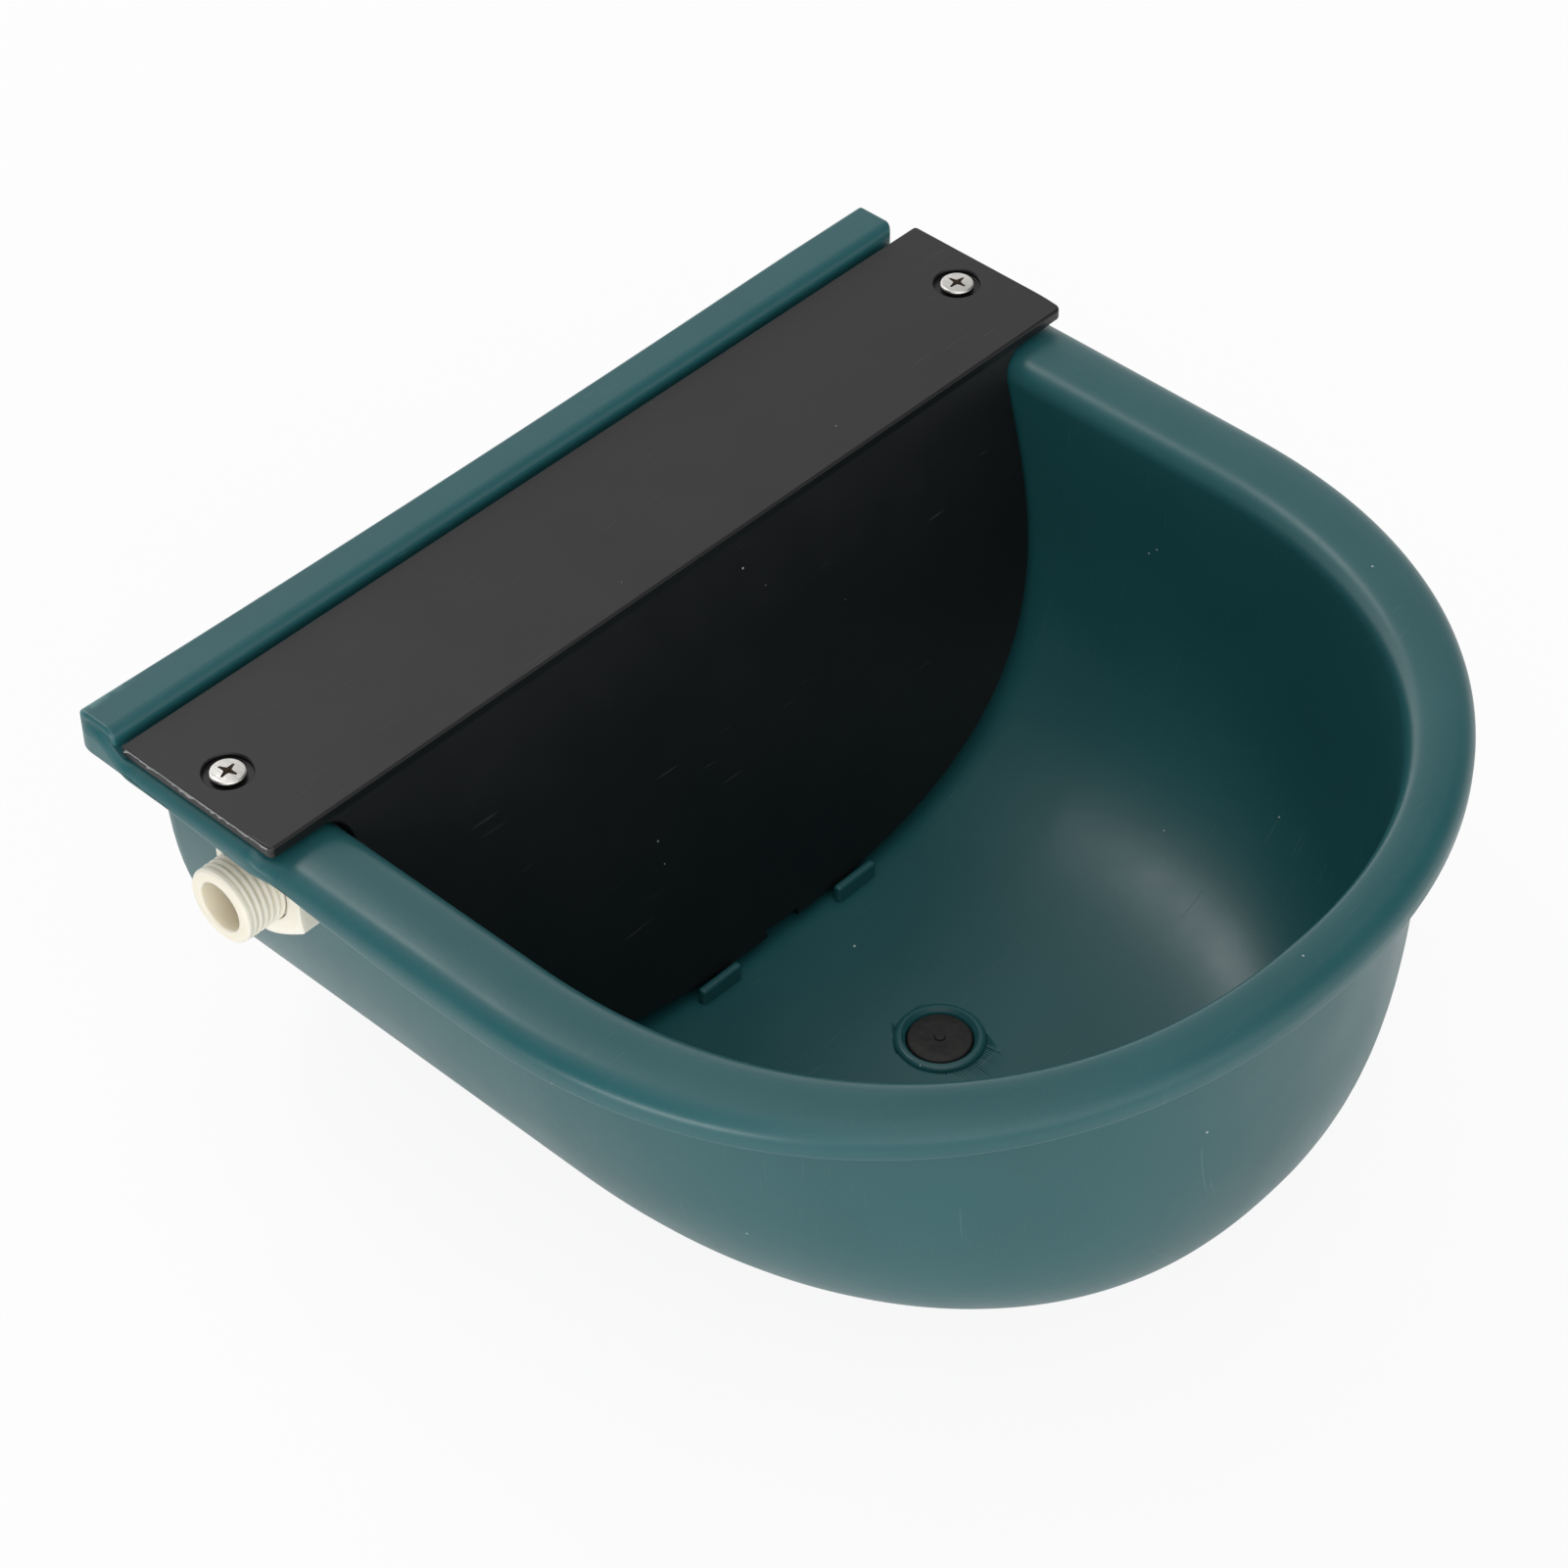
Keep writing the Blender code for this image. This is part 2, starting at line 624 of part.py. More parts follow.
inlet_hole = rod("inlet_hole", THREAD_R + FIT_GAP, -HOLE_LONG, HOLE_LONG)
drain_hole = rod("drain_hole", DRAIN_R, -HOLE_LONG, HOLE_LONG)
holes = [
    place(inlet_hole, (PAD_OUT, INLET_Y, INLET_Z), "X"),
    place(drain_hole, (0, DRAIN_Y, level(INSIDE_DEPTH))),
]
for side in (-1, 1):
    wall_hole = rod(f"wall_hole_{side}", WALL_HOLE_R, -HOLE_LONG, HOLE_LONG, steps=24)
    screw_hole = rod(f"screw_hole_{side}", SCREW_R + FIT_GAP, -HOLE_LONG, HOLE_LONG, steps=16)
    holes.append(place(wall_hole, (side * WALL_HOLE_X, 0, 0), "Y"))
    holes.append(place(screw_hole, (side * SCREW_X, SCREW_Y, RIM_Z)))
finish(in_one_step(bowl, holes), TEAL)

# The cover: a flat plate folded down into a sloping baffle that shuts off the float chamber
cover = box(
    "cover",
    (-COVER_HALF, COVER_HALF),
    (-COVER_FRONT, -COVER_BACK),
    (level(-COVER_UNDER), level(-COVER_TOP)),
    PARTS,
    FOLD_R,
    4,
    lambda a, b: along_x(a, b) and a.y < -COVER_BACK - FIT_GAP and a.z > level(-COVER_TOP + FIT_GAP),
)


def baffle_outline():
    """Half outline as half width and depth below the rim: over the rim, down inside it, then the foot."""
    shoulder = RIM_INNER_R + BAFFLE_GAP
    side = INSIDE_HALF - BAFFLE_GAP
    wing = COVER_HALF - BAFFLE_WING_IN
    points = [(wing, -COVER_UNDER - COVER_THICK / 3), (wing, -BAFFLE_GAP)]
    for i in range(ROUND_STEPS + 1):
        turn = math.pi / 2 * i / ROUND_STEPS
        points.append((side + shoulder * (1 - math.sin(turn)), RIM_INNER_R - shoulder * math.cos(turn)))
    steps = 3 * DEPTH_STEPS
    for i in range(1, steps):
        turn = math.pi / 2 * i / steps
        depth = BAFFLE_DEPTH * math.sin(turn) ** (2 / BAFFLE_DEPTH_POWER)
        narrowing = share(depth, BAFFLE_DEPTH, BAFFLE_DEPTH_POWER)
        width = side * narrowing ** (BAFFLE_DEPTH_POWER / BAFFLE_SIDE_POWER)
        if depth > RIM_INNER_R * 1.5:
            points.append((width, depth))
    return points


half_outline = baffle_outline()
along_slope = 1 / math.cos(BAFFLE_SLOPE)
right_side = [(width, -depth * along_slope) for width, depth in half_outline]
left_side = [(-width, height) for width, height in reversed(right_side)]
baffle = prism("baffle", right_side + left_side, BAFFLE_THICK)
baffle.rotation_euler = (-BAFFLE_SLOPE, 0, 0)
set_in = BAFFLE_THICK / 2 * along_slope - LEDGE_UP * math.tan(BAFFLE_SLOPE)
baffle.location = (0, -COVER_FRONT + set_in, RIM_Z)
join(cover, baffle)

for side in (-1, 1):
    corner_y = -COVER_FRONT + BAFFLE_THICK
    gusset_outline = [(0, 0), (GUSSET, 0), (0, -GUSSET_DROP)]
    gusset = prism(f"gusset_{side}", gusset_outline, BAFFLE_THICK)
    gusset.rotation_euler = (0, 0, math.pi / 2)
    gusset.location = (side * GUSSET_X, corner_y - BAFFLE_THICK / 2, level(-COVER_UNDER - COVER_THICK / 2))
    join(cover, gusset)
    recess = rod(f"recess_{side}", SCREW_RECESS_R, -SCREW_RECESS, HOLE_LONG)
    screw_way = rod(f"screw_way_{side}", SCREW_R + 2 * FIT_GAP, -HOLE_LONG, HOLE_LONG, steps=24)
    at = (side * SCREW_X, SCREW_Y, level(-COVER_TOP))
    cut(cover, place(recess, at), place(screw_way, at))
notch = box(
    "baffle_notch",
    (-NOTCH_WIDE / 2, NOTCH_WIDE / 2),
    (BAFFLE_FOOT_Y - 2 * BAFFLE_THICK, BAFFLE_FOOT_Y + 2 * BAFFLE_THICK),
    (level(INSIDE_DEPTH), level(BAFFLE_DEPTH - NOTCH_HIGH)),
)
cut(cover, notch)
finish(cover, DARK)

# Two cross-slotted screws hold the cover
for name, side in (("cover_screw_left", -1), ("cover_screw_right", 1)):
    seat_z = level(-COVER_TOP + SCREW_RECESS - FIT_GAP)
    top = seat_z + SCREW_HEAD
    edge = seat_z + SCREW_HEAD * 0.45
    tip = level(BOSS_DEEP - SCREW_CLEAR)
    screw = lathe(
        name,
        [
            (0, top),
            (SCREW_HEAD_R * 0.55, top - 0.12 * SCREW_HEAD),
            (SCREW_HEAD_R * 0.88, edge + 0.2 * SCREW_HEAD),
            (SCREW_HEAD_R, edge - 0.15 * SCREW_HEAD),
            (SCREW_HEAD_R, seat_z),
            (SCREW_R, seat_z),
            (SCREW_R, tip + SCREW_POINT),
            (SCREW_R * 0.25, tip),
            (0, tip),
        ],
        PARTS,
    )
    place(screw, (side * SCREW_X, SCREW_Y, 0))
    for i in range(2):
        slot = box(
            f"{name}_slot_{i}",
            (-SCREW_HEAD_R * 0.55, SCREW_HEAD_R * 0.55),
            (-SCREW_SLOT / 2, SCREW_SLOT / 2),
            (top - SCREW_SLOT_DEEP, top + PAST),
        )
        slot.location = (side * SCREW_X, SCREW_Y, 0)
        slot.rotation_euler = (0, 0, math.pi / 2 * i)
        cut(screw, slot)
    finish(screw, NICKEL)

# Inlet fitting: threaded shank, flange, barrel with the plunger bore, and the fork of the hinge
flange_start = PAD_IN + WASHER + 2 * FIT_GAP
flange_end = flange_start + BODY_FLANGE


def from_end(x):
    """Distance of a place on the X axis from the open end of the inlet."""
    return x - INLET_END


valve_body = lathe(
    "valve_body",
    [
        (0, from_end(BARREL_END)),
        (BARREL_R, from_end(BARREL_END)),
        (BARREL_R, from_end(flange_end)),
        (WASHER_R, from_end(flange_end)),
        (WASHER_R, from_end(flange_start)),
        (THREAD_R, from_end(flange_start)),
        (THREAD_R, INLET_CHAMFER),
        (THREAD_R - INLET_CHAMFER, 0),
        (0, 0),
    ],
    PARTS,
)
inlet_at = (INLET_END, INLET_Y, INLET_Z)
place(valve_body, inlet_at, "X")
stop_top = PIN_Z - STOP_FRONT * math.tan(REST_TILT) - ARM_HALF / math.cos(REST_TILT) - FIT_GAP
ear_bottom = stop_top - STOP_HIGH
for side in (-1, 1):
    near = INLET_Y + side * EAR_GAP / 2
    span = sorted((near, near + side * EAR_THICK))
    ear = box(f"ear_{side}", (BARREL_END - 2 * EAR_R, PIN_X), span, (PIN_Z - EAR_R, PIN_Z + EAR_R))
    foot_x = (PIN_X - EAR_THICK, PIN_X + STOP_FRONT)
    foot = box(f"ear_foot_{side}", foot_x, span, (ear_bottom, PIN_Z - EAR_R / 2))
    round_end = rod(f"ear_end_{side}", EAR_R, 0, EAR_THICK, steps=24)
    place(round_end, (PIN_X, span[0], PIN_Z), "Y")
    join(valve_body, ear, foot, round_end)
stop_bar = box(
    "stop_bar",
    (PIN_X + STOP_FRONT - STOP_LONG, PIN_X + STOP_FRONT),
    (INLET_Y - EAR_GAP / 2 - EAR_THICK, INLET_Y + EAR_GAP / 2 + EAR_THICK),
    (ear_bottom, stop_top),
)
join(valve_body, stop_bar)
water_way = rod("water_way", INLET_BORE_R, -HOLE_LONG, from_end(WEB_OUT))
seat_hole = rod("seat_hole", SEAT_R + FIT_GAP, from_end(WEB_OUT - PAST), from_end(WEB_IN + PAST), steps=24)
plunger_bore = rod("plunger_bore", PLUNGER_BORE_R, from_end(WEB_IN), from_end(BARREL_END) + HOLE_LONG)
cut(valve_body, *[place(cutter, inlet_at, "X") for cutter in (water_way, seat_hole, plunger_bore)])
window = box(
    "water_window",
    (WEB_IN + WINDOW_IN, WEB_IN + WINDOW_IN + WINDOW_LONG),
    (INLET_Y - WINDOW_HALF, INLET_Y + WINDOW_HALF),
    (INLET_Z - BARREL_R - PAST, INLET_Z),
)
pin_hole = rod("pin_hole", PIN_R + FIT_GAP, -HOLE_LONG, HOLE_LONG, steps=20)
cut(valve_body, window, place(pin_hole, (PIN_X, INLET_Y, PIN_Z), "Y"))
finish(valve_body, CREAM)


def ring(name, outer, start, look):
    """A flat ring on the inlet thread, from start inwards."""
    inner = THREAD_R + FIT_GAP
    made = lathe(name, [(outer, WASHER), (outer, 0), (inner, 0), (inner, WASHER)], PARTS)
    place(made, (start, INLET_Y, INLET_Z), "X")
    return finish(made, look)


def hexagon(name, flats, bore, low, high, home=PARTS):
    """A six-sided nut along its own Z, its corners taken off on a cone, bored through."""
    corner = flats / math.sqrt(3)
    made = lathe(
        name,
        [
            (0, high),
            (flats / 2 * 0.98, high),
            (corner * 1.02, high - (corner - flats / 2) * 0.6),
            (corner * 1.02, low + (corner - flats / 2) * 0.6),
            (flats / 2 * 0.98, low),
            (0, low),
        ],
        home,
    )
    for i in range(6):
        turn = math.pi / 3 * (i + 0.5)
        side = box(f"{name}_flat_{i}", (flats / 2, flats), (-flats, flats), (low - flats, high + flats))
        side.parent = made
        side.rotation_euler = (0, 0, turn)
        cut(made, side)
    through = rod(f"{name}_bore", bore, low - PAST, high + PAST)
    through.parent = made
    return cut(made, through)


outer_start = PAD_OUT - FIT_GAP - WASHER
ring("collar_washer", COLLAR_R, outer_start, CREAM)
ring("washer_inner", WASHER_R, PAD_IN + FIT_GAP, BLACK)
lock_nut = hexagon("lock_nut", NUT_FLATS, THREAD_R + FIT_GAP, 0, NUT_HIGH)
place(lock_nut, (outer_start - FIT_GAP - NUT_HIGH, INLET_Y, INLET_Z), "X")
finish(lock_nut, CREAM)

# Strainer cup pushed up the inlet against the seat, its closed end with the holes towards the pipe
seat_tip = WEB_IN + SEAT_PROUD
seat_start = WEB_OUT - FIT_GAP - SEAT_FLANGE
strainer_r = INLET_BORE_R - FIT_GAP
strainer = lathe(
    "inlet_strainer",
    [
        (0, STRAINER_SKIN),
        (strainer_r - STRAINER_SKIN, STRAINER_SKIN),
        (strainer_r - STRAINER_SKIN, STRAINER_LONG),
        (strainer_r, STRAINER_LONG),
        (strainer_r, 0),
        (0, 0),
    ],
    PARTS,
)
place(strainer, (seat_start - FIT_GAP - STRAINER_LONG, INLET_Y, INLET_Z), "X")
hole_places = [(0, 0)]
for i in range(STRAINER_HOLES):
    turn = 2 * math.pi * i / STRAINER_HOLES
    hole_places.append((STRAINER_HOLE_OUT * math.cos(turn), STRAINER_HOLE_OUT * math.sin(turn)))
for i, (across, up) in enumerate(hole_places):
    drop = rod(f"strainer_hole_{i}", STRAINER_HOLE_R, -PAST, STRAINER_SKIN + PAST, steps=10)
    drop.parent = strainer
    drop.location = (across, up, 0)
    cut(strainer, drop)
finish(strainer, MESH)

# Seat, plunger and its rubber seal; the plunger slides along X and shuts towards -X
valve_seat = lathe(
    "valve_seat",
    [
        (ORIFICE_R, seat_tip - seat_start),
        (ORIFICE_R + SEAT_LIP, seat_tip - seat_start),
        (SEAT_R, seat_tip - seat_start - SEAT_TAPER),
        (SEAT_R, SEAT_FLANGE),
        (SEAT_FLANGE_R, SEAT_FLANGE),
        (SEAT_FLANGE_R, 0),
        (ORIFICE_R + SEAT_LIP, 0),
        (ORIFICE_R, SEAT_LIP),
    ],
    PARTS,
)
place(valve_seat, (seat_start, INLET_Y, INLET_Z), "X")
finish(valve_seat, STEEL)

seal_face = seat_tip + FIT_GAP + PLUNGER_TRAVEL
plunger_end = PIN_X + PAD_TIP_LEAN - PAD_TIP_R - FIT_GAP
plunger_face = seal_face + SEAL_PROUD
plunger_r = PLUNGER_BORE_R - FIT_GAP
recess_deep = SEAL_THICK - SEAL_PROUD + FIT_GAP
plunger = lathe(
    "valve_plunger",
    [
        (0, plunger_end - plunger_face),
        (plunger_r - PLUNGER_NOSE, plunger_end - plunger_face),
        (plunger_r - PLUNGER_NOSE / 2, plunger_end - plunger_face - PLUNGER_NOSE * 0.7),
        (plunger_r, plunger_end - plunger_face - PLUNGER_NOSE * 2),
        (plunger_r, 0),
        (SEAL_R + FIT_GAP, 0),
        (SEAL_R + FIT_GAP, recess_deep),
        (0, recess_deep),
    ],
    PARTS,
)
place(plunger, (plunger_face, INLET_Y, INLET_Z), "X")
for i in range(4):
    groove = box(
        f"plunger_groove_{i}",
        (plunger_r - PLUNGER_GROOVE_DEEP, plunger_r + PAST),
        (-PLUNGER_GROOVE / 2, PLUNGER_GROOVE / 2),
        (-PAST, plunger_end - plunger_face + PAST),
    )
    groove.parent = plunger
    groove.rotation_euler = (0, 0, math.pi / 2 * i + math.pi / 4)
    cut(plunger, groove)
finish(plunger, CREAM)
seal = rod("seal_disc", SEAL_R, 0, SEAL_THICK, PARTS)
place(seal, (seal_face, INLET_Y, INLET_Z), "X")
finish(seal, BLACK)

# Hinge pin with its head, and the clip on its far end
pin_half = EAR_GAP / 2 + EAR_THICK + FIT_GAP
pin_foot = -pin_half - CLIP_THICK - PIN_TAIL
hinge_pin = lathe(
    "hinge_pin",
    [
        (0, pin_half + PIN_HEAD),
        (PIN_R * 1.9, pin_half + PIN_HEAD),
        (PIN_R * 1.9, pin_half),
        (PIN_R, pin_half),
        (PIN_R, pin_foot),
        (0, pin_foot),
    ],
    PARTS,
    24,
)
place(hinge_pin, (PIN_X, INLET_Y, PIN_Z), "Y")
finish(hinge_pin, STEEL)
clip = lathe(
    "pin_clip",
    [(PIN_R * 2.2, CLIP_THICK), (PIN_R * 2.2, 0), (PIN_R + FIT_GAP, 0), (PIN_R + FIT_GAP, CLIP_THICK)],
    PARTS,
    24,
)
place(clip, (PIN_X, INLET_Y - pin_half - CLIP_THICK, PIN_Z), "Y")
finish(clip, STEEL)

# Everything that swings hangs from an empty on the hinge axis, drawn level and tilted down to its stop
hinge = bpy.data.objects.new("float_hinge", None)
PARTS.objects.link(hinge)
hinge.location = (PIN_X, INLET_Y, PIN_Z)
hinge.rotation_euler = (0, REST_TILT, 0)


def swung(made, at=(0, 0, 0), along="Z"):
    """Hangs a shape on the hinge, at a place measured from the hinge axis with the arm level."""
    place(made, at, along)
    made.parent = hinge
    return made


tip_x = PAD_TIP_LEAN * math.cos(REST_TILT) - PIN_DROP * math.sin(REST_TILT)
tip_z = PAD_TIP_LEAN * math.sin(REST_TILT) + PIN_DROP * math.cos(REST_TILT)
neck_long = math.hypot(tip_x, tip_z)
half_thick = LEVER_THICK / 2
neck_sides = (NECK_IN - half_thick, half_thick - NECK_IN)
arm_sides = (ARM_IN - half_thick, half_thick - ARM_IN)
lever = swung(rod("float_lever", HUB_R, -half_thick, half_thick, PARTS), along="Y")
tip = swung(rod("lever_tip", PAD_TIP_R, -half_thick, half_thick, steps=24), (tip_x, 0, tip_z), "Y")
neck = swung(box("lever_neck", (-NECK / 2, NECK / 2), neck_sides, (0, neck_long)))
neck.rotation_euler = (0, math.atan2(tip_x, tip_z), 0)
arm = swung(box("lever_arm", (0, SOCKET_START + ARM_IN_SOCKET), arm_sides, (-ARM_HALF, ARM_HALF)))
socket = box(
    "lever_socket",
    (SOCKET_START, SOCKET_END),
    (-SOCKET_HALF, SOCKET_HALF),
    (-SOCKET_HALF, SOCKET_HALF),
    bevel=SOCKET_ROUND,
)
join(lever, tip, neck, arm, swung(socket))
lever_bore = rod("lever_bore", PIN_R + FIT_GAP, -HOLE_LONG, HOLE_LONG, steps=20)
rod_bore = rod("rod_bore", ROD_R + FIT_GAP, ROD_START - FIT_GAP, SOCKET_END + HOLE_LONG)
clamp_bore = rod("clamp_bore", CLAMP_R + FIT_GAP, 0, HOLE_LONG, steps=20)
cut(lever, swung(lever_bore, along="Y"), swung(rod_bore, along="X"), swung(clamp_bore, (CLAMP_X, 0, 0)))
finish(lever, CREAM)

rod_end = FLOAT_END + ROD_NUT + ROD_PAST_NUT
float_rod = lathe(
    "float_rod",
    [
        (0, rod_end),
        (ROD_R - ROD_CHAMFER, rod_end),
        (ROD_R, rod_end - ROD_CHAMFER),
        (ROD_R, ROD_START),
        (0, ROD_START),
    ],
    PARTS,
    24,
)
finish(swung(float_rod, along="X"), STEEL)

clamp_foot = ROD_R + FIT_GAP
clamp_seat = SOCKET_HALF + CLAMP_STAND_OFF
clamp_top = clamp_seat + CLAMP_HEAD
clamp_screw = lathe(
    "clamp_screw",
    [
        (0, clamp_top),
        (CLAMP_HEAD_R - CLAMP_EDGE, clamp_top),
        (CLAMP_HEAD_R, clamp_top - CLAMP_EDGE),
        (CLAMP_HEAD_R, clamp_seat),
        (CLAMP_R, clamp_seat - CLAMP_STAND_OFF / 2),
        (CLAMP_R, clamp_foot),
        (0, clamp_foot),
    ],
    PARTS,
)
finish(swung(clamp_screw, (CLAMP_X, 0, 0)), STEEL)

# The float is two shells that meet on the rod and close on each other all round
for name, up in (("float_upper", 1), ("float_lower", -1)):
    inner = FIT_GAP / 2
    heights = sorted((up * inner, up * FLOAT_HIGH / 2))
    shell = box(
        name,
        (FLOAT_START, FLOAT_END),
        (-FLOAT_WIDE / 2, FLOAT_WIDE / 2),
        heights,
        PARTS,
        FLOAT_ROUND,
        4,
        lambda a, b, up=up: up * a.z > FIT_GAP or up * b.z > FIT_GAP,
    )
    hollow_heights = sorted((-up * PAST, up * (FLOAT_HIGH / 2 - FLOAT_WALL)))
    hollow = box(
        f"{name}_hollow",
        (FLOAT_START + FLOAT_WALL, FLOAT_END - FLOAT_WALL),
        (-FLOAT_WIDE / 2 + FLOAT_WALL, FLOAT_WIDE / 2 - FLOAT_WALL),
        hollow_heights,
        bevel=FLOAT_ROUND - FLOAT_WALL,
        segments=3,
    )
    rod_way = rod(f"{name}_rod_way", ROD_R + FIT_GAP, FLOAT_START - PAST, FLOAT_END + PAST, steps=24)
    cut(swung(shell), swung(hollow), swung(rod_way, along="X"))
    finish(shell, FOAM)

nut_starts = {"float_nut_near": FLOAT_START - FIT_GAP - ROD_NUT, "float_nut_far": FLOAT_END + FIT_GAP}
for name, start in nut_starts.items():
    nut = hexagon(name, ROD_NUT_FLATS, ROD_R + FIT_GAP, 0, ROD_NUT)
    finish(swung(nut, (start, 0, 0), "X"), STEEL)

# Rubber drain plug pushed up through the floor from below
plug_top = level(INSIDE_DEPTH - DRAIN_RING + PLUG_BELOW_RING)
plug_under = level(OUTSIDE_DEPTH) - FIT_GAP
head_under = plug_under - PLUG_HEAD
knob_under = head_under - PLUG_KNOB
plug_r = DRAIN_R - FIT_GAP
neck_r = PLUG_KNOB_R * 0.7
drain_plug = lathe(
    "drain_plug",
    [
        (0, plug_top + PLUG_NUB),
        (PLUG_NUB_R * 0.6, plug_top + PLUG_NUB * 0.8),
        (PLUG_NUB_R, plug_top),
        (plug_r - PLUG_EDGE, plug_top),
        (plug_r, plug_top - PLUG_EDGE),
        (plug_r, plug_under),
        (PLUG_HEAD_R, plug_under),
        (PLUG_HEAD_R, head_under + PLUG_ROUND),
        (PLUG_HEAD_R - PLUG_ROUND, head_under),
        (neck_r, head_under),
        (neck_r, head_under - PLUG_KNOB * 0.4),
        (PLUG_KNOB_R, head_under - PLUG_KNOB * 0.6),
        (PLUG_KNOB_R, knob_under + PLUG_ROUND),
        (PLUG_KNOB_R - PLUG_ROUND, knob_under),
        (0, knob_under),
    ],
    PARTS,
)
place(drain_plug, (0, DRAIN_Y, 0))
finish(drain_plug, BLACK)
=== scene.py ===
"""Looks of the drinking bowl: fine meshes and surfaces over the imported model, a pale floor and soft light.
The frame is the model's own: metres, the wall is the plane Y = 0, the bowl stands out towards -Y."""

import json
import math
import random

import bmesh
import bpy
from mathutils import Matrix, Quaternion, Vector

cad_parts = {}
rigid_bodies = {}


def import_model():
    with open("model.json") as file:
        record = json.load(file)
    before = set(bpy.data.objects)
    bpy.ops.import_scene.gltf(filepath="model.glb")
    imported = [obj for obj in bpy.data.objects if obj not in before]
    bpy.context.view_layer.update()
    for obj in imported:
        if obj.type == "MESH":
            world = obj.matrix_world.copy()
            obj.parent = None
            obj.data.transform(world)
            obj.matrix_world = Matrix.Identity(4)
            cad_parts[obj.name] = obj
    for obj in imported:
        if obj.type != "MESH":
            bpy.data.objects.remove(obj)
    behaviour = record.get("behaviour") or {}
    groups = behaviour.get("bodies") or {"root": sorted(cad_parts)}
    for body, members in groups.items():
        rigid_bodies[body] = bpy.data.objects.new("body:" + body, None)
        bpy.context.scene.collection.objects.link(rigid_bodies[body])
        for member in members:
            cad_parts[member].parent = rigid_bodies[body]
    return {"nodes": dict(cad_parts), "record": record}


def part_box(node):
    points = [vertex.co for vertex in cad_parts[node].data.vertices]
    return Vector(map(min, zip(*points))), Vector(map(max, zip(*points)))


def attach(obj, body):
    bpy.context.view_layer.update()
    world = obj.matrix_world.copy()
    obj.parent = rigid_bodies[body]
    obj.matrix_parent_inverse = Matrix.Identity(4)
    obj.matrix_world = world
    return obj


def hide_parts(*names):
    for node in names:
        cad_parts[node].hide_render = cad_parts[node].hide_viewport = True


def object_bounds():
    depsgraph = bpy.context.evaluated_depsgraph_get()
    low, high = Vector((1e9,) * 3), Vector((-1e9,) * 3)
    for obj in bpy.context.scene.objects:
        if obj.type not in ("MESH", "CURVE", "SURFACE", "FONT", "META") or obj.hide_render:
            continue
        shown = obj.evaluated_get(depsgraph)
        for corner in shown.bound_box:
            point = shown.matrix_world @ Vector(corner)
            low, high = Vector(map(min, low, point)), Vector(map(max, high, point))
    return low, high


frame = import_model()
CAD_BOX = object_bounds()
MM = 0.001

# Boxes of the nodes that the fine pieces stand for
BOWL_LOW, BOWL_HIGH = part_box("bowl")
COVER_LOW, COVER_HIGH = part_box("cover")
BODY_LOW, BODY_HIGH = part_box("valve_body")
NUT_LOW, NUT_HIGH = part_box("lock_nut")
COLLAR_LOW, COLLAR_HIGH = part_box("collar_washer")
PLUG_LOW, PLUG_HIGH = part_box("drain_plug")

# Bowl: levels and section, measured down from the rim's top
STRIP_UP = 8.0 * MM
RIM_Z = BOWL_HIGH.z - STRIP_UP
FLOOR = 4.5 * MM
OUTSIDE_DEPTH = RIM_Z - BOWL_LOW.z
INSIDE_DEPTH = OUTSIDE_DEPTH - FLOOR
WALL = 4.0 * MM
INSIDE_HALF = 119.5 * MM
INSIDE_REACH = 123.3 * MM
OUTSIDE_HALF = 123.9 * MM
OUTSIDE_REACH = 130.25 * MM
SIDE_POWER = 3.35
FRONT_POWER = 7.2
OUTSIDE_SIDE_POWER = 3.63
OUTSIDE_FRONT_POWER = 6.07
BODY_ROUND = 2.2
OUTSIDE_ROUND = 2.24
RIM_ROUND = 2.133
BACK_CORNER = 5.0 * MM

# Bowl: rim and flange
RIM_HALF = 143.2 * MM
RIM_REACH = 138.34 * MM
ARC_Y = -134.6 * MM
RIM_THICK = 3.4 * MM
RIM_LIP = 9.5 * MM
LIP_THICK = 2.8 * MM
LIP_EDGE_R = 1.1 * MM
RIM_OUTER_R = 6.0 * MM
RIM_INNER_R = 7.0 * MM
RIM_FLAT = RIM_HALF - RIM_OUTER_R - INSIDE_HALF - RIM_INNER_R
RIM_CROWN = 0.35 * MM
FRONT_FLARE = 2.5 * MM
UNDER_R = 2.2 * MM
LEDGE_UP = 1.8 * MM
FLANGE_LEFT = -BOWL_LOW.x
FLANGE_RIGHT = 138.0 * MM
FLANGE_SKIRT = 2.6 * MM
SKIRT_RUNS = (-120.0 * MM, -5.0 * MM)
FLANGE_OUTER_R = 2.6 * MM
FLANGE_CORNER = 0.8
FLANGE_LIFTS = (-64.4 * MM, -61.0 * MM)
LEFT_TURNS = (-71.0 * MM, -59.0 * MM)
RIGHT_TURNS = (-62.0 * MM, -52.0 * MM)

# How finely the bowl is drawn, with the side's places as runs of (from, to, step) in millimetres, closer
# together where the section changes
SIDE_RUNS = ((-6, -20, 1), (-24, -48, 6), (-50, -58, 2), (-59, -71, 1), (-75, -130, 5))
BACK_STEPS = 6
DEPTH_STEPS = 30
LAST_TURN = math.radians(86)
INSIDE_FLAT = 0.9996
OUTSIDE_FLAT = 0.9998
ROUND_STEPS = 8
UNDER_STEPS = 4
ARC_STEPS = 128
FLOOR_STEPS = (0.25, 0.5, 0.75)
LATHE_STEPS = 96

